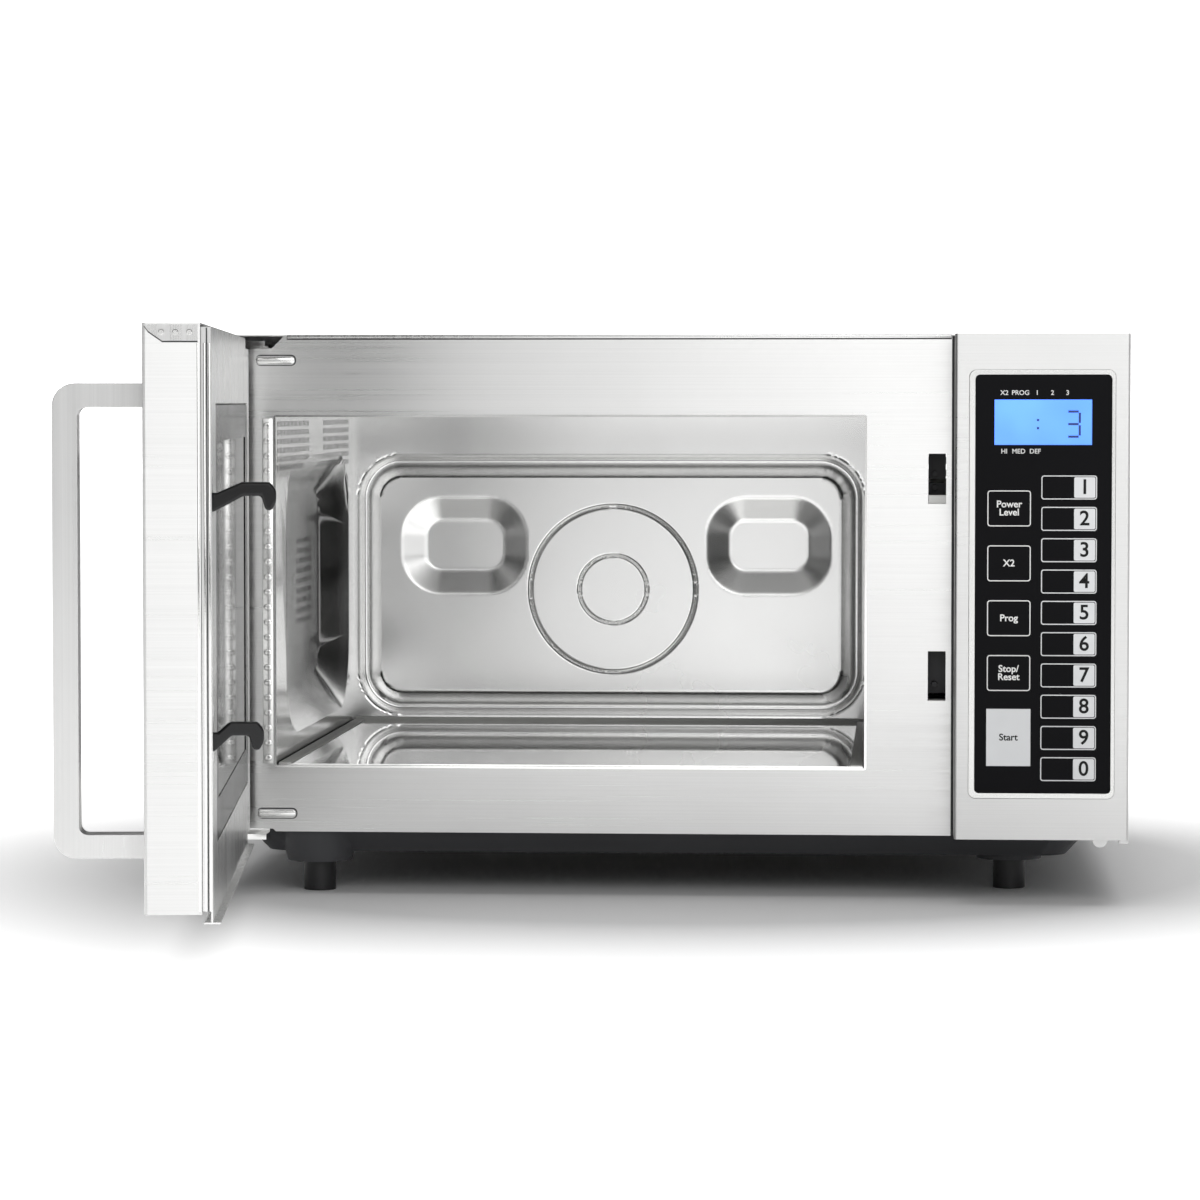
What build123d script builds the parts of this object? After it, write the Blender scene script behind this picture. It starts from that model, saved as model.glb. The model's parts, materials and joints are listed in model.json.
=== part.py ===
from build123d import *
import math
import os

# Free-standing microwave oven, millimetres. The origin is the centre of the cabinet's footprint at the
# level of the worktop: +Z up, the front faces -Y. The door stands open at DOOR_REST_ANGLE.

# ---- driving dimensions -------------------------------------------------------------------------
WIDTH = 511.0
DEPTH = 432.0
HEIGHT = 311.0
FASCIA_PROUD = 33.0
FOOT_HEIGHT = 17.0
BODY_BOTTOM = 36.0
SHEET = 0.8
PLATE = 1.0

LEFT = -WIDTH / 2
RIGHT = WIDTH / 2
FRONT = -DEPTH / 2
REAR = DEPTH / 2
PLATE_FACE = FRONT + FASCIA_PROUD
PLATE_BACK = PLATE_FACE + PLATE

CAVITY_WIDTH = 327.0
CAVITY_HEIGHT = 194.0
CAVITY_LEFT = -215.0
CAVITY_RIGHT = CAVITY_LEFT + CAVITY_WIDTH
CAVITY_BOTTOM = 71.7
CAVITY_TOP = CAVITY_BOTTOM + CAVITY_HEIGHT
CAVITY_BACK = 163.0
LINER_FLOOR = 66.0
RECESS_DEPTH = 15.0
VENT_PITCH = 5.6
WELL_BOTTOM = 50.0

CERAMIC_THICK = 4.0
CERAMIC_TOP = 72.6

FASCIA_LEFT = 160.9
PLATE_RIGHT = FASCIA_LEFT - 1.4
PLATE_BOTTOM = 34.8
HINGE_RIBS = (296.9, 44.8)
RIB_PROUD = 0.8

DOOR_LEFT = -253.0
DOOR_RIGHT = 158.5
DOOR_BOTTOM = 35.5
DOOR_TOP = 310.4
DOOR_GAP = 1.0
SKIN_DEPTH = 27.0
DOOR_INNER = PLATE_FACE - DOOR_GAP
SKIN_BACK = FRONT + SKIN_DEPTH
LIP_BOTTOM = 31.0
HINGE_X = -242.0
HINGE_Y = -198.0
DOOR_REST_ANGLE = 84.0
WINDOW = (-190.0, 96.0, 92.0, 248.0)

SLOT_LEFT = 146.7
SLOT_RIGHT = 156.5
UPPER_SLOT = (217.9, 245.5)
LOWER_SLOT = (109.3, 136.7)
HOOK_LEFT = 148.0
HOOK_THICK = 5.0

KEY_GAP = 0.15
KEY_THICK = 0.8
OVERLAY_FACE = FRONT + 0.8
OVERLAY = (171.9, 245.5, 61.4, 288.7)
BEZEL = (168.5, 247.7, 58.4, 291.4)
DISPLAY = (182.2, 234.9, 250.6, 275.2)
FUNCTION_KEY = (178.2, 202.4, 20.2)
FUNCTION_KEY_CENTRES = {"power_level": 216.2, "x2": 186.4, "prog": 156.6, "stop_reset": 126.8}
START_KEY = (76.0, 107.4)
NUMBER_KEY = (207.3, 238.0, 13.7)
NUMBER_KEY_TOP = 227.6
NUMBER_KEY_PITCH = 17.0
DIGITS = (1, 2, 3, 4, 5, 6, 7, 8, 9, 0)

FAN_X = 186.0
FAN_Z = 205.0
FAN_RADIUS = 52.0
STIRRER_X = -50.0
STIRRER_Y = -10.0

SWITCH_LEFT = 147.0
SWITCH_WIDTH = 9.6
PLUNGER_RADIUS = 1.5


# ---- helpers ------------------------------------------------------------------------------------
def block(x0, x1, y0, y1, z0, z1):
    return Pos((x0 + x1) / 2, (y0 + y1) / 2, (z0 + z1) / 2) * Box(x1 - x0, y1 - y0, z1 - z0)


def facing_panel(x0, x1, z0, z1, y0, y1, radius, taper=0.0):
    """A panel parallel to the front with rounded corners, from y0 back to y1."""
    plane = Plane(origin=((x0 + x1) / 2, y0, (z0 + z1) / 2), x_dir=(1, 0, 0), z_dir=(0, 1, 0))
    return extrude(plane * RectangleRounded(x1 - x0, z1 - z0, radius), amount=y1 - y0, taper=taper)


def rod(x, y, z, radius, length, direction="Z"):
    """A round bar that starts at x, y, z and runs along one positive axis."""
    turns = {"X": (0, 90, 0), "Y": (-90, 0, 0), "Z": (0, 0, 0)}
    align = (Align.CENTER, Align.CENTER, Align.MIN)
    return Pos(x, y, z) * Rot(*turns[direction]) * Cylinder(radius, length, align=align)


def tube(x, y, z, radius, bore, length, direction="Z"):
    return rod(x, y, z, radius, length, direction) - rod(x, y, z, bore, length, direction)


def side_outline(points, x0, x1):
    """A closed outline in the Y-Z plane, extruded along X."""
    wire = Polyline(*[(x0, y, z) for y, z in points], close=True)
    return extrude(make_face(wire), amount=x1 - x0, dir=(1, 0, 0))


def slots(boxes):
    """One tool made of many separate blocks, so that a grille is cut in one step."""
    return Compound([block(*box) for box in boxes])


# ---- cabinet ------------------------------------------------------------------------------------
def outer_wrapper():
    outer = block(LEFT, RIGHT, PLATE_BACK, REAR - 1.5, BODY_BOTTOM, HEIGHT)
    inner = block(LEFT + SHEET, RIGHT - SHEET, PLATE_BACK - 1, REAR, BODY_BOTTOM - 1, HEIGHT - SHEET)
    outer = fillet(outer.edges().filter_by(Axis.Y).group_by(Axis.Z)[-1], 2.5)
    inner = fillet(inner.edges().filter_by(Axis.Y).group_by(Axis.Z)[-1], 2.5 - SHEET)
    louvres = []
    for row in range(9):
        z = 200.0 + row * 8
        louvres.append((LEFT - 1, LEFT + 3, 120, 180, z, z + 3))
        louvres.append((RIGHT - 3, RIGHT + 1, 60, 120, z - 110, z - 107))
    return outer - inner - slots(louvres)


def plate_strips():
    """The front plate cut into flush upright and level strips round the cavity and the latch slots."""
    columns = [(LEFT, CAVITY_LEFT, ((PLATE_BOTTOM, HEIGHT),)),
               (CAVITY_LEFT, CAVITY_RIGHT, ((PLATE_BOTTOM, CAVITY_BOTTOM), (CAVITY_TOP, HEIGHT))),
               (CAVITY_RIGHT, SLOT_LEFT, ((PLATE_BOTTOM, HEIGHT),)),
               (SLOT_LEFT, SLOT_RIGHT, ((PLATE_BOTTOM, LOWER_SLOT[0]), (LOWER_SLOT[1], UPPER_SLOT[0]),
                                        (UPPER_SLOT[1], HEIGHT))),
               (SLOT_RIGHT, PLATE_RIGHT, ((PLATE_BOTTOM, HEIGHT),))]
    return [block(x0, x1, PLATE_FACE, PLATE_BACK, z0, z1) for x0, x1, rows in columns for z0, z1 in rows]


def front_plate():
    """The front frame. Its strips stay apart as solids, so that each hulls to itself."""
    strips = plate_strips()
    left, top = 0, 2
    for strip in (left, top):
        strips[strip] -= hinge_notch(HEIGHT, -1, 7.5)
    strips[left] -= hinge_notch(PLATE_BOTTOM, 1, 1.5)
    ribs = [facing_panel(-226.0, -203.9, z - 2.5, z + 2.5, PLATE_FACE - RIB_PROUD, PLATE_FACE, 2.4)
            for z in HINGE_RIBS]
    return Compound(strips + ribs)


def hinge_notch(edge, side, height):
    """The corner cut that lets a hinge plate through the front plate, with a 45 degree end."""
    inner = edge + side * height
    points = ((LEFT - 1, edge - side), (LEFT - 1, inner), (-217.0, inner), (-217.0 + height, edge),
              (-217.0 + height, edge - side))
    wire = Polyline(*[(x, PLATE_FACE - 1, z) for x, z in points], close=True)
    return extrude(make_face(wire), amount=PLATE + 2, dir=(0, 1, 0))


def recess_frustum(depth, grow):
    """The outward pressing of the cavity's left wall, as a solid from the wall plane outwards."""
    foot = Plane(origin=(CAVITY_LEFT, -1, 163), x_dir=(0, 1, 0), z_dir=(-1, 0, 0))
    tip = Plane(origin=(CAVITY_LEFT - depth, -1, 164), x_dir=(0, 1, 0), z_dir=(-1, 0, 0))
    return loft([foot * RectangleRounded(284 + grow, 158 + grow, 45),
                 tip * RectangleRounded(212 + grow, 112 + grow, 14)])


def cavity_left_wall():
    """The pressed and perforated left sheet, with the outward recess that the lamp shines through."""
    wall = block(CAVITY_LEFT - SHEET, CAVITY_LEFT, PLATE_BACK, CAVITY_BACK, LINER_FLOOR - SHEET,
                 CAVITY_TOP + SHEET)
    wall += recess_frustum(RECESS_DEPTH + SHEET, 2 * SHEET)
    wall -= recess_frustum(RECESS_DEPTH, 0.0)
    wall -= block(CAVITY_LEFT, CAVITY_LEFT + 5, PLATE_BACK, CAVITY_BACK, LINER_FLOOR, CAVITY_TOP)
    vents = []
    for first, count in ((-176.0, 24), (20.0, 22)):
        for row in range(6):
            for column in range(count):
                y = first + column * VENT_PITCH
                z = 235.4 + row * 4.95
                vents.append((CAVITY_LEFT - 6, CAVITY_LEFT + 1, y, y + 2.2, z, z + 3.0))
    for first, count in ((-62.0, 6), (10.0, 12)):
        for row in range(9):
            for column in range(count):
                y = first + column * VENT_PITCH
                z = 141.0 + row * 6.0
                vents.append((CAVITY_LEFT - RECESS_DEPTH - 3, CAVITY_LEFT - RECESS_DEPTH + 3, y, y + 2.2,
                              z, z + 3.0))
    return wall - slots(vents)


def cavity_right_wall():
    return block(CAVITY_RIGHT, CAVITY_RIGHT + SHEET, PLATE_BACK, CAVITY_BACK, LINER_FLOOR - SHEET,
                 CAVITY_TOP + SHEET)


def cavity_ceiling():
    return block(CAVITY_LEFT, CAVITY_RIGHT, PLATE_BACK, CAVITY_BACK, CAVITY_TOP, CAVITY_TOP + SHEET)


def cavity_sump():
    """The cavity's floor sheet, with the round well that the stirrer turns in."""
    sump = block(CAVITY_LEFT, CAVITY_RIGHT, PLATE_BACK, CAVITY_BACK, LINER_FLOOR - SHEET, LINER_FLOOR)
    sump += rod(STIRRER_X, STIRRER_Y, WELL_BOTTOM, 106, LINER_FLOOR - WELL_BOTTOM)
    sump -= rod(STIRRER_X, STIRRER_Y, WELL_BOTTOM + SHEET, 105, LINER_FLOOR)
    return sump - rod(STIRRER_X, STIRRER_Y, WELL_BOTTOM - 5, 13, 20)


def cavity_back_wall():
    face = CAVITY_BACK
    x0 = CAVITY_LEFT - SHEET
    x1 = CAVITY_RIGHT + SHEET
    wall = block(x0, x1, face, face + SHEET, LINER_FLOOR - SHEET, CAVITY_TOP + SHEET)
    sunk = face + 7.0
    wall += facing_panel(-211.5, 108.4, 76.3, 240.9, face, sunk + SHEET, 28, 40)
    wall -= facing_panel(-210.7, 107.6, 77.1, 240.1, face - 0.01, sunk, 27, 40)
    for centre in (-144.0, 48.4):
        wall += facing_panel(centre - 39.5, centre + 39.5, 153, 214, sunk, sunk + 6 + SHEET, 25, 30)
        wall -= facing_panel(centre - 38.7, centre + 38.7, 153.8, 213.2, sunk, sunk + 6, 24, 30)
    for radius in (52.3, 21.4):
        wall -= tube(-50, sunk - 1, 156, radius + 1, radius - 1, 1.4, "Y")
    return wall


def ceramic_floor():
    return block(CAVITY_LEFT + 1, CAVITY_RIGHT - 1, PLATE_BACK + 0.5, CAVITY_BACK - 0.5,
                 CERAMIC_TOP - CERAMIC_THICK, CERAMIC_TOP)


def floor_seal():
    low = LINER_FLOOR
    high = CERAMIC_TOP - CERAMIC_THICK
    frame = block(CAVITY_LEFT + 1, CAVITY_RIGHT - 1, PLATE_BACK + 0.5, CAVITY_BACK - 0.5, low, high)
    middle = block(CAVITY_LEFT + 9, CAVITY_RIGHT - 9, PLATE_BACK + 9, CAVITY_BACK - 9, low - 1, high + 1)
    return frame - middle


def tray(low, grow):
    top = Plane(origin=(0, 16, BODY_BOTTOM)) * RectangleRounded(472 + grow, 380 + grow, 20)
    bottom = Plane(origin=(0, 16, low)) * RectangleRounded(448 + grow, 356 + grow, 16)
    return loft([bottom, top])


FEET = ((-194.0, -158.0), (193.0, -122.0), (-194.0, 178.0), (193.0, 178.0))


def foot_pad(x, y, low, radius):
    """A tapered boss from low up to the base's flange, which closes its top where it passes the tray."""
    align = (Align.CENTER, Align.CENTER, Align.MIN)
    return Pos(x, y, low) * Cone(radius - 5, radius, BODY_BOTTOM - low, align=align)


def base_plate():
    base = block(LEFT + SHEET, RIGHT - SHEET, PLATE_BACK, REAR - 1.5, BODY_BOTTOM, BODY_BOTTOM + PLATE)
    base += tray(22.0, 0)
    for x, y in FEET:
        base += foot_pad(x, y, FOOT_HEIGHT, 23)
    base += facing_floor_pad()
    base -= tray(23.0, -2)
    base -= block(-235, 235, -173, 205, BODY_BOTTOM - 0.5, BODY_BOTTOM + 2)
    base -= block(-250.3, -218.7, PLATE_BACK - 1, PLATE_BACK + 2.3, BODY_BOTTOM - 1, BODY_BOTTOM + 2)
    for x, y in FEET:
        base -= foot_pad(x, y, FOOT_HEIGHT + 1, 22)
        base -= rod(x, y, FOOT_HEIGHT - 1, 2.6, 4)
    return base


def facing_floor_pad():
    """The wide shallow stiffening pad pressed down in the middle of the base."""
    top = Plane(origin=(15, -60, 22.5)) * RectangleRounded(228, 150, 12)
    bottom = Plane(origin=(15, -60, 19.0)) * RectangleRounded(216, 138, 8)
    return loft([bottom, top])


def feet():
    solids = []
    for x, y in FEET:
        foot = rod(x, y, 0, 9.0, FOOT_HEIGHT)
        foot += rod(x, y, FOOT_HEIGHT, 2.5, 5)
        solids.append(foot)
    return Compound(solids)


def rear_panel():
    sheet = block(LEFT, RIGHT, REAR - 1.5, REAR - 0.5, BODY_BOTTOM, HEIGHT)
    openings = []
    for row in range(12):
        z = FAN_Z - 46 + row * 8
        openings.append((FAN_X - 46, FAN_X + 46, REAR - 3, REAR + 1, z, z + 3.5))
        openings.append((-210, -90, REAR - 3, REAR + 1, z, z + 3.5))
    sheet -= slots(openings)
    return sheet - rod(205, REAR - 3, 62, 9, 5, "Y")


def cord_gland():
    flange = tube(205, REAR - 0.5, 62, 13, 5, 0.5, "Y")
    return flange + tube(205, REAR - 8, 62, 8.9, 5, 7.5, "Y")


def hinge_brackets():
    """Two hinge plates: a tab through the notch, a round end over the axis and a pin into the door."""
    brackets = []
    for tab, back, pin in ((304.5, (270, 307.5), 292.0), (31.4, (31.4, 60), 34.0)):
        arm = block(-238.0, -219.0, HINGE_Y + 2, PLATE_BACK + 2, tab, tab + 3)
        arm += rod(HINGE_X, HINGE_Y, tab, 8.0, 3)
        arm += block(HINGE_X, HINGE_X + 8, HINGE_Y, HINGE_Y + 7, tab, tab + 3)
        arm += block(-250, -219, PLATE_BACK, PLATE_BACK + 2, *back)
        arm += rod(HINGE_X, HINGE_Y, pin, 3.5, 12.5)
        brackets.append(arm)
    return Compound(brackets)


# ---- control panel ------------------------------------------------------------------------------
def control_fascia():
    shell = block(FASCIA_LEFT, RIGHT, FRONT, PLATE_BACK, BODY_BOTTOM, HEIGHT)
    shell = fillet(shell.edges().filter_by(Axis.Z).group_by(Axis.Y)[0], 1.6)
    shell -= block(FASCIA_LEFT + 1.2, RIGHT - 1.2, FRONT + 1.2, PLATE_BACK + 1,
                   BODY_BOTTOM + 1.2, HEIGHT - 1.2)
    x0, x1, z0, z1 = BEZEL
    shell -= facing_panel(x0, x1, z0, z1, FRONT - 1, FRONT + 3, 4)
    shell += rod(240.2, FRONT + 1.2, BODY_BOTTOM, 4.0, 1.0, "Y")
    shell += block(250.5, RIGHT, FRONT + 1, FRONT + 6, BODY_BOTTOM - 1.8, BODY_BOTTOM)
    return shell


def panel_bezel():
    x0, x1, z0, z1 = BEZEL
    frame = facing_panel(x0 + 0.1, x1 - 0.1, z0 + 0.1, z1 - 0.1, FRONT - 0.3, FRONT + 4.5, 3.9)
    frame += facing_panel(x0 - 2, x1 + 2, z0 - 2, z1 + 2, FRONT + 1.2, FRONT + 4.5, 4)
    x0, x1, z0, z1 = OVERLAY
    return frame - facing_panel(x0, x1, z0, z1, FRONT - 1, FRONT + 6, 2.5)


def key_places():
    """Each key's name and its box on the panel: left, right, bottom, top."""
    places = {}
    x0, x1, tall = FUNCTION_KEY
    for name, centre in FUNCTION_KEY_CENTRES.items():
        places["key_" + name] = (x0, x1, centre - tall / 2, centre + tall / 2)
    places["key_start"] = (x0, x1, *START_KEY)
    x0, x1, tall = NUMBER_KEY
    for row, digit in enumerate(DIGITS):
        centre = NUMBER_KEY_TOP - row * NUMBER_KEY_PITCH
        places[f"key_{digit}"] = (x0, x1, centre - tall / 2, centre + tall / 2)
    return places


def keypad_overlay():
    x0, x1, z0, z1 = OVERLAY
    sheet = facing_panel(x0 + 0.1, x1 - 0.1, z0 + 0.1, z1 - 0.1, OVERLAY_FACE, OVERLAY_FACE + KEY_THICK, 2.4)
    sheet += facing_panel(x0 + 0.1, x1 - 0.1, z0 + 0.1, z1 - 0.1,
                          OVERLAY_FACE + 1.6, OVERLAY_FACE + 3.0, 2.4)
    rim = facing_panel(x0 + 0.1, x1 - 0.1, z0 + 0.1, z1 - 0.1, OVERLAY_FACE, OVERLAY_FACE + 3.0, 2.4)
    sheet += rim - facing_panel(x0 + 1.5, x1 - 1.5, z0 + 1.5, z1 - 1.5, OVERLAY_FACE - 1, OVERLAY_FACE + 4, 2)
    for x0, x1, z0, z1 in key_places().values():
        sheet -= block(x0, x1, OVERLAY_FACE - 1, OVERLAY_FACE + KEY_THICK + 0.1, z0, z1)
    x0, x1, z0, z1 = DISPLAY
    return sheet - block(x0, x1, OVERLAY_FACE - 1, OVERLAY_FACE + 4, z0, z1)


def key_pad(x0, x1, z0, z1):
    return block(x0 + KEY_GAP, x1 - KEY_GAP, OVERLAY_FACE - 0.1, OVERLAY_FACE + KEY_THICK - 0.1,
                 z0 + KEY_GAP, z1 - KEY_GAP)


def display_module():
    x0, x1, z0, z1 = DISPLAY
    window = block(x0 + 0.1, x1 - 0.1, OVERLAY_FACE + 0.3, OVERLAY_FACE + 3.2, z0 + 0.1, z1 - 0.1)
    return window + block(x0 - 3, x1 + 3, OVERLAY_FACE + 3.2, OVERLAY_FACE + 9, z0 - 3, z1 + 3)


def control_board():
    board = block(168, 248, FRONT + 10.5, FRONT + 12.1, 62, 288)
    for x in (169.4, 247.4):
        for z in (66, 284):
            board += rod(x, FRONT + 4.5, z, 1.4, 6, "Y")
    board += block(182, 204, FRONT + 12.1, FRONT + 27, 90, 112)
    board += block(212, 238, FRONT + 12.1, FRONT + 30, 84, 118)
    board += block(184, 232, FRONT + 12.1, FRONT + 15, 150, 164)
    for z in (190, 210, 230):
        board += block(180, 199, FRONT + 12.1, FRONT + 25, z, z + 16)
    return board


# ---- interlock ----------------------------------------------------------------------------------
def interlock_bracket():
    """The side cheek with the ledges that the latch hooks ride over, screwed behind the front plate."""
    cheek = block(157.0, 159.4, PLATE_BACK, -128, 96, 262)
    cheek += block(SLOT_LEFT + 0.3, 157.2, PLATE_BACK, -168, 218.0, 222.6)
    cheek += block(SLOT_LEFT + 0.3, 157.2, PLATE_BACK, -172, 105.0, 109.6)
    return cheek


SWITCHES = {"upper": (-150.0, 231.2, 259.2, 234.0), "monitor": (-150.0, 200.4, 228.8, 226.4),
            "lower": (-156.0, 112.0, 140.0, 117.0)}
SWITCH_DEPTH = 16.0


def interlock_switches():
    bodies = []
    for y, low, high, plunger_z in SWITCHES.values():
        body = block(SWITCH_LEFT, SWITCH_LEFT + SWITCH_WIDTH, y, y + SWITCH_DEPTH, low, high)
        body -= rod(150.5, y - 1, plunger_z, PLUNGER_RADIUS + 0.3, 6, "Y")
        for tip in (low + 5, high - 7):
            body += block(150, 154, y + SWITCH_DEPTH, y + SWITCH_DEPTH + 7, tip, tip + 0.8)
        bodies.append(body)
    return Compound(bodies)


def switch_plunger(y, plunger_z):
    return rod(150.5, y - 4.0, plunger_z, PLUNGER_RADIUS, 7.5, "Y")


# ---- power parts --------------------------------------------------------------------------------
def magnetron():
    body = block(142, 212, -44, 26, 51, 56)
    for level in range(9):
        z = 60 + level * 6
        body += block(144, 210, -42, 24, z, z + 1)
    body += block(142, 143.2, -44, 26, 51, 118)
    body += block(210.8, 212, -44, 26, 51, 118)
    body += rod(177, -9, 50, 20, 68)
    body += block(142, 212, -44, 26, 114, 118)
    body += block(158, 196, -30, 12, 118, 140)
    return body + rod(177, -9, 41.0, 6, 12)


def waveguide():
    guide = block(-84, 214, -46, 28, 38.0, 49.9)
    guide -= block(-83, 213, -45, 27, 39.0, 48.9)
    guide -= rod(STIRRER_X, STIRRER_Y, 37, 13, 14)
    return guide - rod(177, -9, 45, 9, 8)


def transformer_core():
    core = block(134, 220, 74, 134, 23, 96.5)
    for low, high in ((36.5, 52.5), (66.5, 82.5)):
        core -= block(133, 221, 84, 124, low, high)
    return core


def transformer_coils():
    coils = []
    for low, high in ((36.7, 52.3), (66.7, 82.3)):
        coil = block(122, 134, 84, 124, low, high)
        coil += block(220, 232, 84, 124, low, high)
        coil += block(134, 220, 84.2, 123.8, low, high)
        coils.append(coil)
    return Compound(coils)


def hv_capacitor():
    can = block(128, 158, 150, 200, 46, 138)
    can = fillet(can.edges().filter_by(Axis.Z), 12)
    for y in (165, 185):
        can += rod(143, y, 138, 2, 6)
    return can + block(126, 160, 148, 202, 38, 46)


def fan_bracket():
    frame = block(FAN_X - 60, FAN_X + 60, 176, 178, FAN_Z - 60, FAN_Z + 60)
    frame -= rod(FAN_X, 175, FAN_Z, FAN_RADIUS + 3, 4, "Y")
    frame += block(FAN_X - 60, FAN_X + 60, 176, 178, FAN_Z - 6, FAN_Z + 6)
    frame -= rod(FAN_X, 175, FAN_Z, 5, 4, "Y")
    frame += block(FAN_X - 60, FAN_X + 60, 178, REAR - 1.5, FAN_Z + 58, FAN_Z + 60)
    return frame


def fan_motor():
    body = rod(FAN_X, 146, FAN_Z, 24, 30, "Y")
    body -= rod(FAN_X, 170, FAN_Z, 1.55, 8, "Y")
    return body


def fan_blade():
    hub = rod(FAN_X, 184, FAN_Z, 11, 14, "Y")
    hub += rod(FAN_X, 171, FAN_Z, 1.5, 13, "Y")
    for number in range(7):
        turn = Rot(0, number * 360 / 7, 0)
        vane = Pos(30, 0, 0) * Rot(32, 0, 0) * Box(42, 1.6, 16)
        hub += Pos(FAN_X, 191, FAN_Z) * turn * vane
    return hub


def stirrer():
    disc = rod(STIRRER_X, STIRRER_Y, 57, 70, 1.5)
    for number in range(5):
        angle = math.radians(number * 72)
        x = STIRRER_X + 44 * math.cos(angle)
        y = STIRRER_Y + 44 * math.sin(angle)
        disc -= rod(x, y, 56, 12, 4)
    return disc + rod(STIRRER_X, STIRRER_Y, 36.0, 3, 21.2)


def stirrer_motor():
    body = rod(STIRRER_X, STIRRER_Y, 23.2, 24, 12)
    body += block(STIRRER_X - 34, STIRRER_X + 34, STIRRER_Y - 8, STIRRER_Y + 8, 34, 35.2)
    body += tube(STIRRER_X, STIRRER_Y, 35.2, 6, 3.05, 2.6)
    return body - rod(STIRRER_X, STIRRER_Y, 30, 3.05, 8)


def lamp():
    holder = block(-253, -236, 70, 92, 240, 262)
    holder += rod(-234, 81, 251, 8.0, 14, "X") - rod(-225, 81, 251, 6.8, 6, "X")
    bulb = Pos(-222.4, 81, 251) * Sphere(6.2)
    return holder + bulb


def thermal_cutouts():
    cutouts = []
    for x, y in ((60.0, 80.0), (60.0, -120.0)):
        disc = rod(x, y, CAVITY_TOP + SHEET, 8, 7)
        disc += block(x - 14, x + 14, y - 3, y + 3, CAVITY_TOP + SHEET, CAVITY_TOP + SHEET + 1)
        cutouts.append(disc)
    return Compound(cutouts)


def filter_board():
    board = block(150, 240, 40, 110, 262, 263.6)
    board += rod(175, 75, 263.6, 14, 16)
    board += block(200, 225, 60, 90, 263.6, 280)
    for x in (155, 235):
        board += rod(x, 45, 263.6, 3, HEIGHT - SHEET - 263.6)
    return board


def cabinet_screws():
    screws = []
    for x, z in ((-240, 300), (0, 300), (240, 300), (-240, 60), (240, 60), (0, 48)):
        screws.append(rod(x, REAR - 0.5, z, 4, 0.5, "Y"))
    return Compound(screws)


# ---- door, modelled closed ----------------------------------------------------------------------
def door_skin():
    skin = block(DOOR_LEFT, DOOR_RIGHT, FRONT, SKIN_BACK, DOOR_BOTTOM, DOOR_TOP)
    skin = fillet(skin.edges().filter_by(Axis.Z).group_by(Axis.Y)[0], 1.6)
    skin -= block(DOOR_LEFT + 1, DOOR_RIGHT - 1, FRONT + 1, SKIN_BACK + 1, DOOR_BOTTOM + 1, DOOR_TOP - 1)
    x0, x1, z0, z1 = WINDOW
    skin -= facing_panel(x0, x1, z0, z1, FRONT - 1, FRONT + 2, 6)
    skin -= block(DOOR_LEFT - 1, DOOR_LEFT + 2, HINGE_Y - 4, SKIN_BACK + 1, 303.5, 308.5)
    skin -= rod(HINGE_X, HINGE_Y, DOOR_BOTTOM - 1, 4.2, 3)
    for z in HANDLE_ARMS:
        skin -= rod(HANDLE_X, FRONT - 1, z, 2.6, 4, "Y")
    return skin


def door_glass():
    x0, x1, z0, z1 = WINDOW
    return facing_panel(x0 - 8, x1 + 8, z0 - 8, z1 + 8, FRONT + 1, FRONT + 5, 6)


def choke_frame():
    """The inner pressing: the flat back of the door, a deep rim box round the window and hinge eyes."""
    x0, x1, z0, z1 = (-222.0, 119.0, 64.0, 274.0)
    frame = block(-245, DOOR_RIGHT - 0.8, SKIN_BACK, DOOR_INNER, DOOR_BOTTOM + 1.5, DOOR_TOP - 1.8)
    frame -= block(-244, DOOR_RIGHT - 1.8, SKIN_BACK - 1, DOOR_INNER - 1, DOOR_BOTTOM + 2.5, DOOR_TOP - 2.8)
    frame += block(x0, x1, FRONT + 7, DOOR_INNER, z0, z1)
    frame -= block(x0 + 1, x1 - 1, FRONT + 8, DOOR_INNER + 1, z0 + 1, z1 - 1)
    frame -= block(WINDOW[0] - 6, WINDOW[1] + 6, FRONT + 6, FRONT + 9, WINDOW[2] - 6, WINDOW[3] + 6)
    frame += block(-214, DOOR_RIGHT - 0.8, SKIN_BACK + 0.5, DOOR_INNER + 3.6, LIP_BOTTOM, LIP_BOTTOM + 1)
    frame += block(-214, DOOR_RIGHT - 0.8, DOOR_INNER - 1, DOOR_INNER, LIP_BOTTOM, DOOR_BOTTOM + 2)
    for low in (293.0, DOOR_BOTTOM + 1.5):
        frame += block(HINGE_X - 7, HINGE_X + 14, HINGE_Y - 8, SKIN_BACK + 3.5, low, low + 8)
        frame -= rod(HINGE_X, HINGE_Y, low - 1, 3.55, 10)
    frame -= block(-246, -206, HINGE_Y - 10, DOOR_INNER + 1, 302.9, 312)
    frame -= block(HOOK_LEFT - 1, HOOK_LEFT + HOOK_THICK + 1, SKIN_BACK - 1, DOOR_INNER + 1, 221.0, 245.0)
    frame -= block(HOOK_LEFT - 1, HOOK_LEFT + HOOK_THICK + 1, SKIN_BACK - 1, DOOR_INNER + 1, 106.0, 132.0)
    return frame


def window_screen():
    x0, x1, z0, z1 = WINDOW
    return block(x0 - 12, x1 + 12, FRONT + 8, FRONT + 8.6, z0 - 12, z1 + 12)


def inner_glass():
    x0, x1, z0, z1 = WINDOW
    return block(x0 - 10, x1 + 10, DOOR_INNER - 3.2, DOOR_INNER - 0.4, z0 - 10, z1 + 10)


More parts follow.
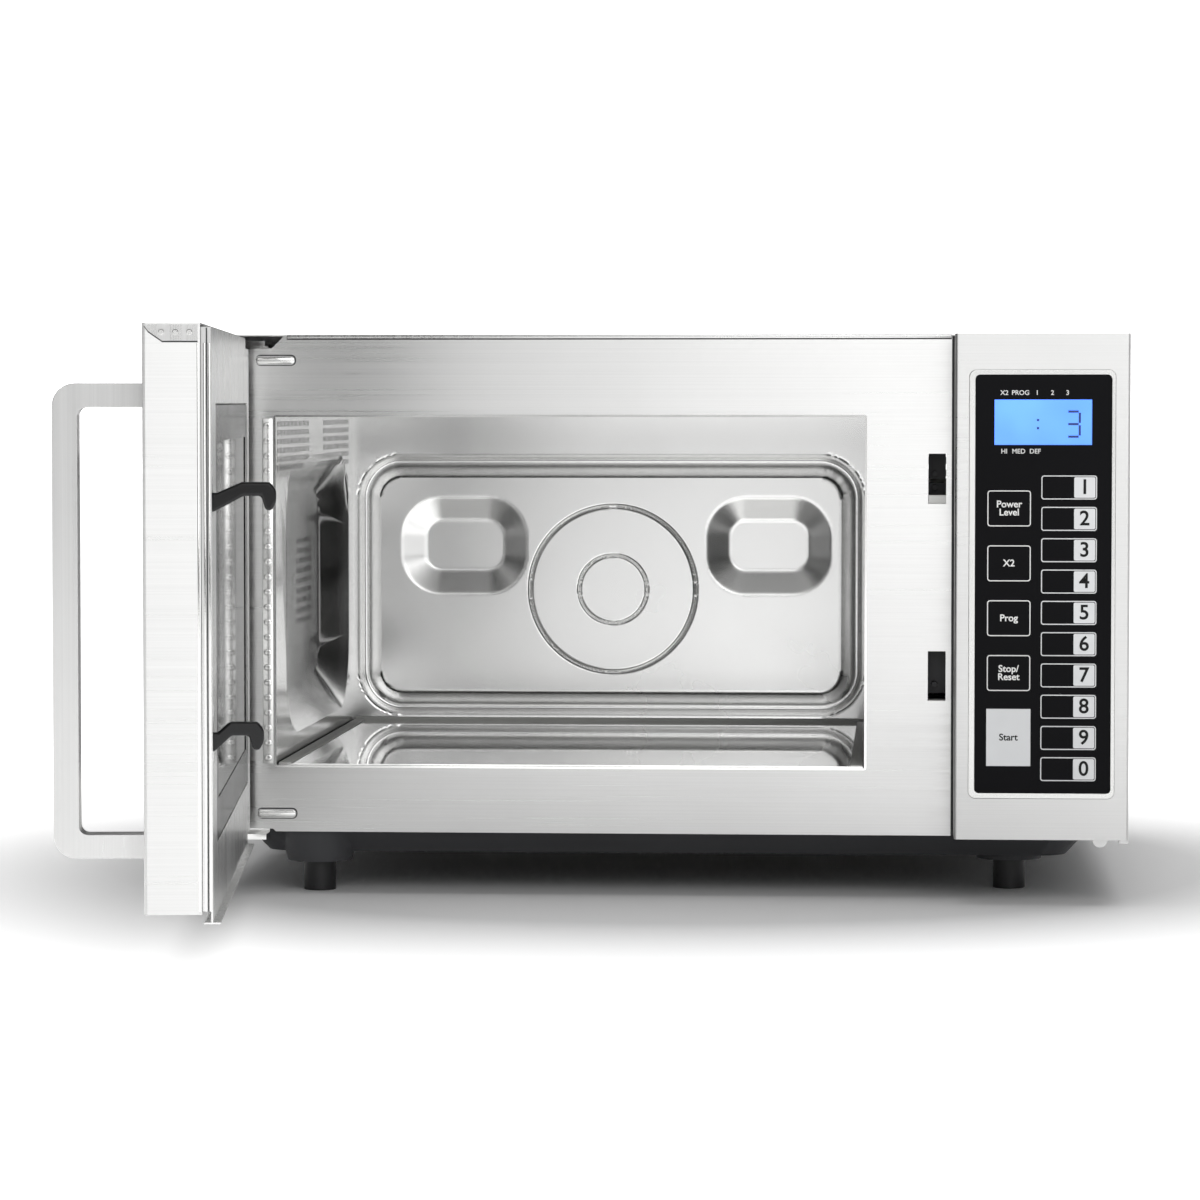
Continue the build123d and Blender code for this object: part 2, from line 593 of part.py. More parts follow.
def choke_cover():
    x0, x1, z0, z1 = (-220.8, 117.8, 65.2, 272.8)
    cover = block(x0, x1, DOOR_INNER - 5, DOOR_INNER, z0, z1)
    cover = fillet(cover.edges().group_by(Axis.Y)[-1], 1.2)
    x0, x1, z0, z1 = WINDOW
    cover -= block(x0 - 10.2, x1 + 10.2, DOOR_INNER - 6, DOOR_INNER - 0.3, z0 - 10.2, z1 + 10.2)
    return cover - block(x0 - 7, x1 + 7, DOOR_INNER - 6, DOOR_INNER + 1, z0 - 7, z1 + 7)


HANDLE_X = 124.0
HANDLE_WIDTH = 15.0
HANDLE_ARMS = (64.85, 276.85)
HANDLE_REACH = 44.0
HANDLE_THICK = 11.3
HANDLE_BAR = 12.0


def door_handle():
    low = HANDLE_ARMS[0] - HANDLE_THICK / 2
    high = HANDLE_ARMS[1] + HANDLE_THICK / 2
    x0 = HANDLE_X - HANDLE_WIDTH / 2
    x1 = HANDLE_X + HANDLE_WIDTH / 2
    outer = block(x0, x1, FRONT - HANDLE_REACH, FRONT, low, high)
    outer = fillet(outer.edges().filter_by(Axis.X).group_by(Axis.Y)[0], 11)
    inner = block(x0 - 1, x1 + 1, FRONT - HANDLE_REACH + HANDLE_BAR, FRONT + 1, low + HANDLE_THICK,
                  high - HANDLE_THICK)
    inner = fillet(inner.edges().filter_by(Axis.X).group_by(Axis.Y)[0], 4)
    handle = outer - inner
    for z in HANDLE_ARMS:
        handle -= rod(HANDLE_X, FRONT - 12, z, 2.1, 12, "Y")
    return handle


def handle_screws():
    screws = []
    for z in HANDLE_ARMS:
        shank = rod(HANDLE_X, FRONT - 11, z, 2.0, 12, "Y")
        screws.append(shank + rod(HANDLE_X, FRONT + 1, z, 4.5, 2.5, "Y"))
    return Compound(screws)


def latch_hook(low, reach):
    """One hook: the arm leaves the door, steps up and ends in a head with its nose down."""
    base = DOOR_INNER
    tip = base + reach
    points = [(base - 9, low - 1), (base + 0.5, low - 1), (tip - 15, low + 6.5), (tip - 7, low + 6.5),
              (tip - 5, low), (tip - 2.2, low - 0.4), (tip, low + 3.5), (tip, low + 9.5),
              (tip - 3, low + 13), (tip - 16, low + 13), (base + 2, low + 8), (base - 9, low + 8)]
    return side_outline(points, HOOK_LEFT, HOOK_LEFT + HOOK_THICK)


def door_latch():
    link = block(HOOK_LEFT, HOOK_LEFT + HOOK_THICK, DOOR_INNER - 20, DOOR_INNER - 9, 104, 238)
    return link + latch_hook(223.6, 29.6) + latch_hook(112.0, 23.6)


def opened(shape):
    """Swing a door piece from closed to where it rests."""
    return shape.rotate(Axis((HINGE_X, HINGE_Y, 0), (0, 0, 1)), -DOOR_REST_ANGLE)


# ---- build --------------------------------------------------------------------------------------
CABINET = {"outer_wrapper": outer_wrapper, "front_plate": front_plate,
           "cavity_left_wall": cavity_left_wall, "cavity_right_wall": cavity_right_wall,
           "cavity_ceiling": cavity_ceiling, "cavity_sump": cavity_sump,
           "cavity_back_wall": cavity_back_wall, "ceramic_floor": ceramic_floor, "floor_seal": floor_seal,
           "base_plate": base_plate, "feet": feet, "rear_panel": rear_panel, "cord_gland": cord_gland,
           "hinge_brackets": hinge_brackets, "control_fascia": control_fascia, "panel_bezel": panel_bezel,
           "keypad_overlay": keypad_overlay, "display_module": display_module,
           "control_board": control_board, "interlock_bracket": interlock_bracket,
           "interlock_switches": interlock_switches, "magnetron": magnetron, "waveguide": waveguide,
           "transformer_core": transformer_core, "transformer_coils": transformer_coils,
           "hv_capacitor": hv_capacitor, "fan_bracket": fan_bracket, "fan_motor": fan_motor,
           "fan_blade": fan_blade, "stirrer": stirrer, "stirrer_motor": stirrer_motor, "lamp": lamp,
           "thermal_cutouts": thermal_cutouts, "filter_board": filter_board,
           "cabinet_screws": cabinet_screws}

DOOR = {"door_skin": door_skin, "door_glass": door_glass, "choke_frame": choke_frame,
        "window_screen": window_screen, "inner_glass": inner_glass, "choke_cover": choke_cover,
        "door_handle": door_handle, "handle_screws": handle_screws, "door_latch": door_latch}


def main():
    os.makedirs("parts", exist_ok=True)
    for name, make in CABINET.items():
        export_step(make(), f"parts/{name}.step")
    for name, make in DOOR.items():
        export_step(opened(make()), f"parts/{name}.step")
    for name, place in key_places().items():
        export_step(key_pad(*place), f"parts/{name}.step")
    for name, (y, low, high, plunger_z) in SWITCHES.items():
        export_step(switch_plunger(y, plunger_z), f"parts/switch_plunger_{name}.step")


main()
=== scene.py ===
import json
import math

import bmesh
import bpy
from mathutils import Matrix, Vector


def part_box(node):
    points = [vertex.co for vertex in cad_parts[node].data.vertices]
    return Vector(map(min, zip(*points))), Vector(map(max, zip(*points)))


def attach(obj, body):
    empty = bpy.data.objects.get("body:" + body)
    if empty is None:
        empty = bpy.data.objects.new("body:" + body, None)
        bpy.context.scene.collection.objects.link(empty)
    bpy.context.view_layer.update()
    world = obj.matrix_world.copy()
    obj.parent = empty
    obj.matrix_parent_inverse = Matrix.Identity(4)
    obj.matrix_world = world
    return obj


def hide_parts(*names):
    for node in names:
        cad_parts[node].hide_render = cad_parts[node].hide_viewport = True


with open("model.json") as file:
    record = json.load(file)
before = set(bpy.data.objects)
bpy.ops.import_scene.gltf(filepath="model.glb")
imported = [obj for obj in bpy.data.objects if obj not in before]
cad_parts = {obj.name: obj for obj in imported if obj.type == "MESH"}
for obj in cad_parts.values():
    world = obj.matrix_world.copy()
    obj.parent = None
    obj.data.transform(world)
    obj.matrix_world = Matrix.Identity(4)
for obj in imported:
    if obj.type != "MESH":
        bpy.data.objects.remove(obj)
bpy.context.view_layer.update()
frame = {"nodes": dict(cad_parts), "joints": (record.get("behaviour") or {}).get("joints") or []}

bl_info = {
    "name": "Microwave Oven Finish",
    "version": (1, 0, 0),
    "blender": (4, 5, 0),
    "location": "View3D > Sidebar > Oven",
    "description": "Adds the finished sheets, presswork, keys, lettering and studio round the oven's frame",
    "category": "Object",
}

NODES = frame["nodes"]
MM = 0.001
JOINTS = {joint["name"]: joint for joint in frame["joints"]}
HINGE = Vector(JOINTS["door_swing"]["pos_m"])
DOOR_CLOSED_DEG = -JOINTS["door_swing"]["range_deg"][0]
DOOR_REST = (Matrix.Translation(HINGE) @ Matrix.Rotation(-math.radians(DOOR_CLOSED_DEG), 4, "Z")
             @ Matrix.Translation(-HINGE))
STAND_UP = Matrix.Rotation(math.radians(90), 3, "X")


def metres(sizes):
    """Millimetres as metres."""
    return tuple(size * MM for size in sizes)


# ---- what a user may change ---------------------------------------------------------------------
def length(name, description, default):
    return bpy.props.FloatProperty(name=name, description=description, default=default, min=0.0,
                                   unit="LENGTH", subtype="DISTANCE", precision=5)


def colour(name, description, default):
    return bpy.props.FloatVectorProperty(name=name, description=description, default=default, size=3,
                                         min=0.0, max=1.0, subtype="COLOR")


class OvenSizes(bpy.types.PropertyGroup):
    edge_round: length("Sheet edge", "Rounding on the cut edges of the sheets", 0.0003)
    handle_round: length("Handle edge", "Rounding on the edges of the door handle", 0.0022)
    latch_round: length("Latch edge", "Rounding on the moulded latch hooks", 0.0013)
    groove_depth: length("Groove depth", "Depth of the groove round the cavity's back wall", 0.0065)
    lozenge_depth: length("Lozenge depth", "Depth of the two lozenge pressings", 0.0050)
    ring_depth: length("Ring depth", "Depth of the two ring grooves", 0.0014)
    wall_cell: length("Presswork cell", "Largest face on the pressed back wall", 0.0025)
    print_thickness: length("Print", "Thickness of the printed lettering", 0.00004)
    outline_width: length("Key outline", "Width of the line round each key", 0.00055)
    digit_height: length("Digit size", "Type size of the digits on the keys", 0.0112)
    word_height: length("Word size", "Type size of the words on the keys", 0.0052)
    legend_height: length("Legend size", "Type size of the small legends by the display", 0.0036)


class OvenColours(bpy.types.PropertyGroup):
    steel: colour("Steel", "Brushed stainless sheet", (0.66, 0.66, 0.655))
    cavity: colour("Cavity steel", "Satin stainless of the cavity", (0.62, 0.62, 0.615))
    ceramic: colour("Ceramic", "Glazed cavity floor", (0.95, 0.95, 0.94))
    membrane: colour("Membrane", "Black keypad film", (0.004, 0.004, 0.005))
    key_light: colour("Light key", "Pale print on the start key and the digit squares", (0.70, 0.71, 0.72))
    backlight: colour("Backlight", "Display backlight", (0.10, 0.27, 0.96))
    base: colour("Base", "Dark paint of the base plate", (0.045, 0.046, 0.05))


# ---- materials ----------------------------------------------------------------------------------
# Noise cells per metre along and across the brushing, for the fine lines and for the broad bands.
BRUSH_LINES = (4.0, 1500.0)
BRUSH_BANDS = (1.2, 260.0)
BAND_SHARE = 0.35
STEEL_GRAIN_HEIGHT = 0.00002
MOULDED_GRAIN_HEIGHT = 0.00003
# Places on X between which the left wall's recess goes from plain steel to dark, by painted shade.
RECESS_PAINTED_SHADE = (-0.2154, -0.2215)


def new_material(name):
    material = bpy.data.materials.new(name)
    material.use_nodes = True
    tree = material.node_tree
    tree.nodes.clear()
    output = tree.nodes.new("ShaderNodeOutputMaterial")
    shader = tree.nodes.new("ShaderNodeBsdfPrincipled")
    tree.links.new(shader.outputs["BSDF"], output.inputs["Surface"])
    return material, tree, shader


def noise_at(tree, scale, detail=4.0, stretch=(1.0, 1.0, 1.0)):
    """Noise on the object's own coordinates in metres, stretched along the axes."""
    place = tree.nodes.new("ShaderNodeTexCoord")
    mapping = tree.nodes.new("ShaderNodeMapping")
    mapping.inputs["Scale"].default_value = stretch
    noise = tree.nodes.new("ShaderNodeTexNoise")
    noise.inputs["Scale"].default_value = scale
    noise.inputs["Detail"].default_value = detail
    tree.links.new(place.outputs["Object"], mapping.inputs["Vector"])
    tree.links.new(mapping.outputs["Vector"], noise.inputs["Vector"])
    return noise.outputs["Fac"]


def ranged(tree, value, low, high, from_low=0.3, from_high=0.7):
    span = tree.nodes.new("ShaderNodeMapRange")
    span.inputs["From Min"].default_value = from_low
    span.inputs["From Max"].default_value = from_high
    span.inputs["To Min"].default_value = low
    span.inputs["To Max"].default_value = high
    tree.links.new(value, span.inputs["Value"])
    return span.outputs["Result"]


def tinted(tree, value, dark, light):
    ramp = tree.nodes.new("ShaderNodeValToRGB")
    ramp.color_ramp.elements[0].position = 0.3
    ramp.color_ramp.elements[1].position = 0.7
    ramp.color_ramp.elements[0].color = (*dark, 1.0)
    ramp.color_ramp.elements[1].color = (*light, 1.0)
    tree.links.new(value, ramp.inputs["Fac"])
    return ramp.outputs["Color"]


def bumped(tree, shader, value, strength, distance):
    bump = tree.nodes.new("ShaderNodeBump")
    bump.inputs["Strength"].default_value = strength
    bump.inputs["Distance"].default_value = distance
    tree.links.new(value, bump.inputs["Height"])
    tree.links.new(bump.outputs["Normal"], shader.inputs["Normal"])


def shade(base, factor):
    return tuple(min(1.0, channel * factor) for channel in base)


def brush_stretch(along, cells):
    return [cells[0] if axis in along else cells[1] for axis in "XYZ"]


def brushed(name, base, along, rough=(0.24, 0.40), line_strength=0.25, spread=0.06, stretched=0.7):
    """Stainless sheet with fine brush lines along the named axes and faint cloudy handling marks."""
    material, tree, shader = new_material(name)
    lines = noise_at(tree, 1.0, 3.0, brush_stretch(along, BRUSH_LINES))
    bands = noise_at(tree, 1.0, 2.0, brush_stretch(along, BRUSH_BANDS))
    clouds = noise_at(tree, 7.0, 3.0)
    mix = tree.nodes.new("ShaderNodeMix")
    mix.inputs["Factor"].default_value = BAND_SHARE
    tree.links.new(lines, mix.inputs["A"])
    tree.links.new(bands, mix.inputs["B"])
    blended = mix.outputs["Result"]
    tree.links.new(tinted(tree, blended, shade(base, 1.0 - spread), shade(base, 1.0 + spread)),
                   shader.inputs["Base Color"])
    add = tree.nodes.new("ShaderNodeMath")
    add.operation = "ADD"
    tree.links.new(ranged(tree, blended, *rough), add.inputs[0])
    tree.links.new(ranged(tree, clouds, -0.03, 0.05), add.inputs[1])
    tree.links.new(add.outputs["Value"], shader.inputs["Roughness"])
    shader.inputs["Metallic"].default_value = 1.0
    shader.inputs["Anisotropic"].default_value = stretched
    shader.inputs["Anisotropic Rotation"].default_value = 0.25 if "X" in along else 0.0
    tangent = tree.nodes.new("ShaderNodeTangent")
    tangent.direction_type = "RADIAL"
    tangent.axis = "Y" if along == "Y" else "Z"
    tree.links.new(tangent.outputs["Tangent"], shader.inputs["Tangent"])
    bumped(tree, shader, blended, line_strength, STEEL_GRAIN_HEIGHT)
    return material


def satin_steel(name, base, rough=(0.20, 0.30), recess=None):
    """Cold-rolled stainless with a fine orange-peel grain, and painted shade dimming it inside a recess
    pressed towards -X.
    """
    material, tree, shader = new_material(name)
    grain = noise_at(tree, 900.0, 2.0)
    clouds = noise_at(tree, 9.0, 4.0)
    tint = tinted(tree, clouds, shade(base, 0.96), shade(base, 1.03))
    # Painted shade: the colour falls to half across the recess, deeper towards -X.
    if recess:
        place = tree.nodes.new("ShaderNodeTexCoord")
        split = tree.nodes.new("ShaderNodeSeparateXYZ")
        tree.links.new(place.outputs["Object"], split.inputs["Vector"])
        painted_recess_shade = tree.nodes.new("ShaderNodeMix")
        painted_recess_shade.data_type = "RGBA"
        painted_recess_shade.inputs["B"].default_value = (*shade(base, 0.5), 1.0)
        tree.links.new(ranged(tree, split.outputs["X"], 0.0, 1.0, *recess), painted_recess_shade.inputs["Factor"])
        tree.links.new(tint, painted_recess_shade.inputs["A"])
        tint = painted_recess_shade.outputs["Result"]
    tree.links.new(tint, shader.inputs["Base Color"])
    tree.links.new(ranged(tree, clouds, *rough), shader.inputs["Roughness"])
    shader.inputs["Metallic"].default_value = 1.0
    bumped(tree, shader, grain, 0.06, STEEL_GRAIN_HEIGHT)
    return material


def moulded(name, base, rough=(0.30, 0.42), grain_scale=1400.0, grain=0.12, coat=0.0, metallic=0.0,
            specular=0.5):
    """Moulded, painted, printed or galvanised surface with fine grain and slight colour drift."""
    material, tree, shader = new_material(name)
    clouds = noise_at(tree, 14.0, 3.0)
    tree.links.new(tinted(tree, clouds, shade(base, 0.88), shade(base, 1.08)), shader.inputs["Base Color"])
    tree.links.new(ranged(tree, clouds, *rough), shader.inputs["Roughness"])
    shader.inputs["Coat Weight"].default_value = coat
    shader.inputs["Coat Roughness"].default_value = 0.05
    shader.inputs["Metallic"].default_value = metallic
    shader.inputs["Specular IOR Level"].default_value = specular
    bumped(tree, shader, noise_at(tree, grain_scale, 2.0), grain, MOULDED_GRAIN_HEIGHT)
    return material


def glazed(name, base):
    """Glass-ceramic plate: faint speckle under a clear glaze that mirrors the walls."""
    material, tree, shader = new_material(name)
    speckle = noise_at(tree, 700.0, 2.0)
    tree.links.new(tinted(tree, speckle, shade(base, 0.93), shade(base, 1.05)), shader.inputs["Base Color"])
    tree.links.new(ranged(tree, noise_at(tree, 20.0, 2.0), 0.06, 0.10), shader.inputs["Roughness"])
    shader.inputs["Coat Weight"].default_value = 1.0
    shader.inputs["Coat Roughness"].default_value = 0.02
    shader.inputs["Metallic"].default_value = 0.92
    return material


def tinted_glass(name, base, alpha, specular=0.5):
    material, tree, shader = new_material(name)
    tree.links.new(tinted(tree, noise_at(tree, 30.0, 2.0), shade(base, 0.9), shade(base, 1.1)),
                   shader.inputs["Base Color"])
    tree.links.new(ranged(tree, noise_at(tree, 12.0, 2.0), 0.02, 0.05), shader.inputs["Roughness"])
    shader.inputs["Alpha"].default_value = alpha
    shader.inputs["Specular IOR Level"].default_value = specular
    return material


def glowing(name, base, strength):
    """Backlit film: an even glow with slightly paler patches."""
    material, tree, shader = new_material(name)
    glow = tinted(tree, noise_at(tree, 40.0, 1.0), shade(base, 0.92), shade(base, 1.1))
    tree.links.new(glow, shader.inputs["Base Color"])
    tree.links.new(glow, shader.inputs["Emission Color"])
    tree.links.new(ranged(tree, noise_at(tree, 25.0, 2.0), 0.10, 0.16), shader.inputs["Roughness"])
    shader.inputs["Emission Strength"].default_value = strength
    return material


def build_materials(colours):
    steel = tuple(colours.steel)
    cavity = tuple(colours.cavity)
    return {
        "sheet_x": brushed("steel_brushed_across", steel, "X"),
        # The fascia's copy of the steel is darker by painted shade.
        "sheet_panel": brushed("steel_brushed_panel_painted_shade", shade(steel, 0.84), "X"),
        "sheet_y": brushed("steel_brushed_deep", steel, "Y"),
        "sheet_level": brushed("steel_brushed_level", steel, "XY"),
        "door_steel": brushed("steel_door_frame", shade(steel, 0.98), "Z", (0.22, 0.34), 0.18),
        # One cavity steel in copies lit and shaded by paint: 0.78 of its colour on the right wall, ceiling
        # and sump, 0.9 on the left wall, and 1.22 on the back wall as painted light.
        "cavity": satin_steel("steel_cavity", shade(cavity, 0.78), (0.13, 0.20)),
        # The left wall's copy carries painted shade in its recess.
        "cavity_side": satin_steel("steel_cavity_side_painted_shade", shade(cavity, 0.9), (0.13, 0.20), RECESS_PAINTED_SHADE),
        "cavity_back": satin_steel("steel_cavity_back_painted_light", shade(cavity, 1.22), (0.20, 0.28)),
        "handle": brushed("steel_handle", shade(steel, 0.9), "Z", (0.26, 0.40), 0.15),
        "ceramic": glazed("ceramic_glaze", tuple(colours.ceramic)),
        "silicone": moulded("silicone_seal", (0.55, 0.55, 0.53), (0.45, 0.6)),
        "base": moulded("base_paint", tuple(colours.base), (0.45, 0.6), 900.0, 0.3),
        "rubber": moulded("foot_rubber", (0.012, 0.012, 0.013), (0.35, 0.5)),
        "galvanised": moulded("galvanised_sheet", (0.55, 0.56, 0.57), (0.35, 0.5), 60.0, 0.1, 0.0, 1.0),
        # Black plastic of the cord gland; also the painted shadow lines under the hem and round the ribs,
        # and the painted shade in the panel seam, the door's corner and the gaps of its edge.
        "black": moulded("black_plastic", (0.02, 0.02, 0.022), (0.4, 0.55)),
        "latch": moulded("latch_plastic", (0.006, 0.006, 0.0065), (0.14, 0.22), 600.0, 0.05, specular=0.3),
        # Bright steel of the brackets, cutouts and screws; on the opening lip, the weld strip, the hinge
        # ribs and the door's edge lips its lightness is a painted highlight.
        "bright": satin_steel("steel_bright_and_painted_highlight", (0.78, 0.78, 0.77), (0.12, 0.2)),
        "bezel": satin_steel("bezel_steel", (0.62, 0.62, 0.61), (0.2, 0.3)),
        "membrane": moulded("membrane_film", tuple(colours.membrane), (0.30, 0.40), 2500.0, 0.08,
                            specular=0.06),
        "key_light": moulded("print_light", tuple(colours.key_light), (0.4, 0.5), 2500.0, 0.05),
        "print": moulded("print_white", (0.80, 0.80, 0.79), (0.4, 0.5), 2500.0, 0.03),
        "print_dark": moulded("print_dark", (0.010, 0.010, 0.010), (0.4, 0.5), 2500.0, 0.03, specular=0.15),
        "display": glowing("display_glow", tuple(colours.backlight), 1.0),
        "segments": moulded("display_segments", (0.02, 0.045, 0.22), (0.2, 0.3)),
        "board": moulded("board_green", (0.03, 0.16, 0.07), (0.3, 0.45)),
        "white": moulded("white_plastic", (0.74, 0.74, 0.72), (0.35, 0.5)),
        "switch": moulded("switch_plastic", (0.03, 0.03, 0.035), (0.4, 0.5)),
        "iron": moulded("core_iron", (0.10, 0.10, 0.105), (0.4, 0.6), 300.0, 0.3, 0.0, 0.6),
        "copper": moulded("copper_wire", (0.62, 0.28, 0.12), (0.25, 0.4), 500.0, 0.4, 0.0, 1.0),
        "fan": moulded("fan_plastic", (0.55, 0.55, 0.52), (0.35, 0.5)),
        "aluminium": satin_steel("aluminium_plate", (0.76, 0.77, 0.78), (0.25, 0.4)),
        "glass": tinted_glass("window_glass", (0.012, 0.012, 0.014), 0.82),
        "inner_glass": tinted_glass("inner_window_film", (0.01, 0.01, 0.011), 0.90, 0.2),
        "screen": moulded("screen_paint", (0.02, 0.02, 0.021), (0.35, 0.5)),
        "choke": moulded("choke_plastic", (0.008, 0.008, 0.009), (0.20, 0.28), 1400.0, 0.03, specular=0.2),
        "backdrop": glowing("studio_backdrop", (0.97, 0.97, 0.97), 1.05),
    }


FINISH = {}

CAD_FINISH = {
    "ceramic_floor": "ceramic", "cavity_right_wall": "cavity", "cavity_ceiling": "cavity",
    "cavity_sump": "cavity", "floor_seal": "silicone", "rear_panel": "galvanised", "cord_gland": "black",
    "hinge_brackets": "bright", "keypad_overlay": "membrane", "display_module": "display",
    "control_board": "board", "interlock_bracket": "white", "interlock_switches": "switch",
    "magnetron": "galvanised", "waveguide": "galvanised", "transformer_core": "iron",
    "transformer_coils": "copper", "hv_capacitor": "galvanised", "fan_bracket": "galvanised",
    "fan_motor": "iron", "fan_blade": "fan", "stirrer": "aluminium", "stirrer_motor": "galvanised",
    "lamp": "white", "thermal_cutouts": "bright", "filter_board": "board", "cabinet_screws": "bright",
    "door_glass": "glass", "inner_glass": "inner_glass", "handle_screws": "bright",
    "switch_plunger_upper": "switch", "switch_plunger_monitor": "switch", "switch_plunger_lower": "switch",
}


# ---- mesh helpers -------------------------------------------------------------------------------
MERGE_WITHIN = 0.000002
FLAT_WITHIN_DEG = 0.4
CORNER_STEPS = 4
TYPE_LINE_SPACE = 0.85
TYPE_HALF_DEPTH = 0.00003
TYPE_CURVE_STEPS = 6


def soften(bm, edges, width, segments=2):
    """Round edges off."""
    bmesh.ops.bevel(bm, geom=edges, offset=width, offset_type="OFFSET", segments=segments, profile=0.5,
                    affect="EDGES", material=-1, clamp_overlap=True)


def add_piece(name, bm, finish, body, replaced=(), sharp=30.0, recalc=True):
    """Finish a bmesh as a named piece that rides on a body."""
    if recalc:
        bmesh.ops.recalc_face_normals(bm, faces=bm.faces)
    mesh = bpy.data.meshes.new(name)
    bm.to_mesh(mesh)
    bm.free()
    mesh.materials.append(FINISH[finish])
    mesh.shade_smooth()
    mesh.set_sharp_from_angle(angle=math.radians(sharp))
    piece = bpy.data.objects.new(name, mesh)
    bpy.context.scene.collection.objects.link(piece)
    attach(piece, body)
    if replaced:
        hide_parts(*replaced)
    return piece


def from_frame(node, name, finish, body, width, segments=2, corner=30.0, sharp=30.0, join=True):
    """A merged copy of a frame node with its corners rounded, which stands for that node."""
    bm = bmesh.new()
    bm.from_mesh(NODES[node].data)
    bmesh.ops.remove_doubles(bm, verts=bm.verts, dist=MERGE_WITHIN)
    if join:
        bmesh.ops.dissolve_limit(bm, angle_limit=math.radians(FLAT_WITHIN_DEG), verts=bm.verts,
                                 edges=bm.edges)
    if width > 0.0:
        edges = [edge for edge in bm.edges if len(edge.link_faces) == 2
                 and edge.calc_face_angle() > math.radians(corner)]
        soften(bm, edges, width, segments)
    piece = add_piece(name, bm, finish, body, (node,), sharp, recalc=False)
    even = piece.modifiers.new("even_normals", "WEIGHTED_NORMAL")
    even.keep_sharp = True
    even.weight = 100
    return piece


def facing_face(bm, x0, x1, z0, z1, y, radius=0.0):
    """A flat face that looks towards the front, with rounded corners."""
    earlier = set(bm.faces)
    corners = [bm.verts.new((x, y, z)) for x, z in ((x0, z0), (x1, z0), (x1, z1), (x0, z1))]
    bm.faces.new(corners)
    if radius > 0.0:
        bmesh.ops.bevel(bm, geom=corners, offset=radius, offset_type="OFFSET", segments=CORNER_STEPS,
                        profile=0.5, affect="VERTICES", material=-1)
    return next(face for face in bm.faces if face not in earlier)


def thicken(bm, faces, depth):
    """Extrude faces back by depth, keeping the front."""
    made = bmesh.ops.extrude_face_region(bm, geom=faces)
    moved = [item for item in made["geom"] if isinstance(item, bmesh.types.BMVert)]
    bmesh.ops.translate(bm, verts=moved, vec=(0.0, depth, 0.0))


def outline(bm, x0, x1, z0, z1, y, radius, width, depth):
    """A printed line round a rounded rectangle."""
    face = facing_face(bm, x0, x1, z0, z1, y, radius)
    rim = bmesh.ops.inset_region(bm, faces=[face], thickness=width, use_boundary=True,
                                 use_even_offset=True)["faces"]
    bmesh.ops.delete(bm, geom=[face], context="FACES")
    thicken(bm, rim, depth)


def lettering(name, words, x, z, size, y, finish, body, bold):
    """Upright generic lettering that faces the front, as a thin mesh."""
    curve = bpy.data.curves.new(name, "FONT")
    curve.body = words
    curve.size = size
    curve.align_x = "CENTER"
    curve.align_y = "CENTER"
    curve.space_line = TYPE_LINE_SPACE
    curve.offset = bold
    curve.extrude = TYPE_HALF_DEPTH
    curve.resolution_u = TYPE_CURVE_STEPS
    holder = bpy.data.objects.new(name + "_type", curve)
    bpy.context.scene.collection.objects.link(holder)
    mesh = bpy.data.meshes.new_from_object(holder)
    bpy.data.objects.remove(holder)
    mesh.name = name
    mesh.transform(Matrix.Translation((x, y, z)) @ Matrix.Rotation(math.radians(90), 4, "X"))
    mesh.materials.clear()
    mesh.materials.append(FINISH[finish])
    piece = bpy.data.objects.new(name, mesh)
    bpy.context.scene.collection.objects.link(piece)
    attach(piece, body)
    return piece


def upright_grid(bm, low, high, cell):
    """A grid of cells that stands on the front side of a box."""
    wide, tall = high.x - low.x, high.z - low.z
    bmesh.ops.create_grid(bm, x_segments=int(wide / cell), y_segments=int(tall / cell), size=1.0)
    bmesh.ops.scale(bm, verts=bm.verts, vec=(wide / 2, tall / 2, 1.0))
    bmesh.ops.rotate(bm, verts=bm.verts, matrix=STAND_UP)
    bmesh.ops.translate(bm, verts=bm.verts, vec=((low.x + high.x) / 2, low.y, (low.z + high.z) / 2))


def box_into(bm, x0, x1, y0, y1, z0, z1):
    """Add one block."""
    made = bmesh.ops.create_cube(bm, size=1.0)["verts"]
    bmesh.ops.scale(bm, verts=made, vec=(x1 - x0, y1 - y0, z1 - z0))
    bmesh.ops.translate(bm, verts=made, vec=((x0 + x1) / 2, (y0 + y1) / 2, (z0 + z1) / 2))


def rounded_distance(x, z, box, radius):
    """Signed distance from a rounded rectangle, negative inside."""
    x0, x1, z0, z1 = box
    across = abs(x - (x0 + x1) / 2) - (x1 - x0) / 2 + radius
    up = abs(z - (z0 + z1) / 2) - (z1 - z0) / 2 + radius
    outside = math.hypot(max(across, 0.0), max(up, 0.0))
    return outside + min(max(across, up), 0.0) - radius


# ---- the cavity's back wall ---------------------------------------------------------------------
BAND_OUTER = metres((-211.5, 108.4, 76.3, 240.9))
BAND_RADIUS = 28 * MM
BAND_WIDTH = 14.5 * MM
BAND_LOWEST = 0.30
LOZENGE_CENTRES = metres((-144.0, 48.4))
LOZENGE_Z = 183.5 * MM
LOZENGE_HALF = metres((39.5, 30.5))
LOZENGE_RADIUS = 25 * MM
LOZENGE_SLOPE = 15.5 * MM
RING_CENTRE = metres((-50.0, 156.0))
RINGS = (metres((52.3, 1.7)), metres((21.4, 1.3)))
# The lozenge's slope is steeper by this factor, so it reaches the full depth just before its end.
LOZENGE_GAIN = 1.06
# How far round the pressings and the rings the wall's faces are halved, and the rings' second time.
PRESSING_MARGIN = 3 * MM
RING_MARGIN = 4 * MM
RING_FINE_MARGIN = 2 * MM


def lozenge_box(centre):
    return (centre - LOZENGE_HALF[0], centre + LOZENGE_HALF[0],
            LOZENGE_Z - LOZENGE_HALF[1], LOZENGE_Z + LOZENGE_HALF[1])


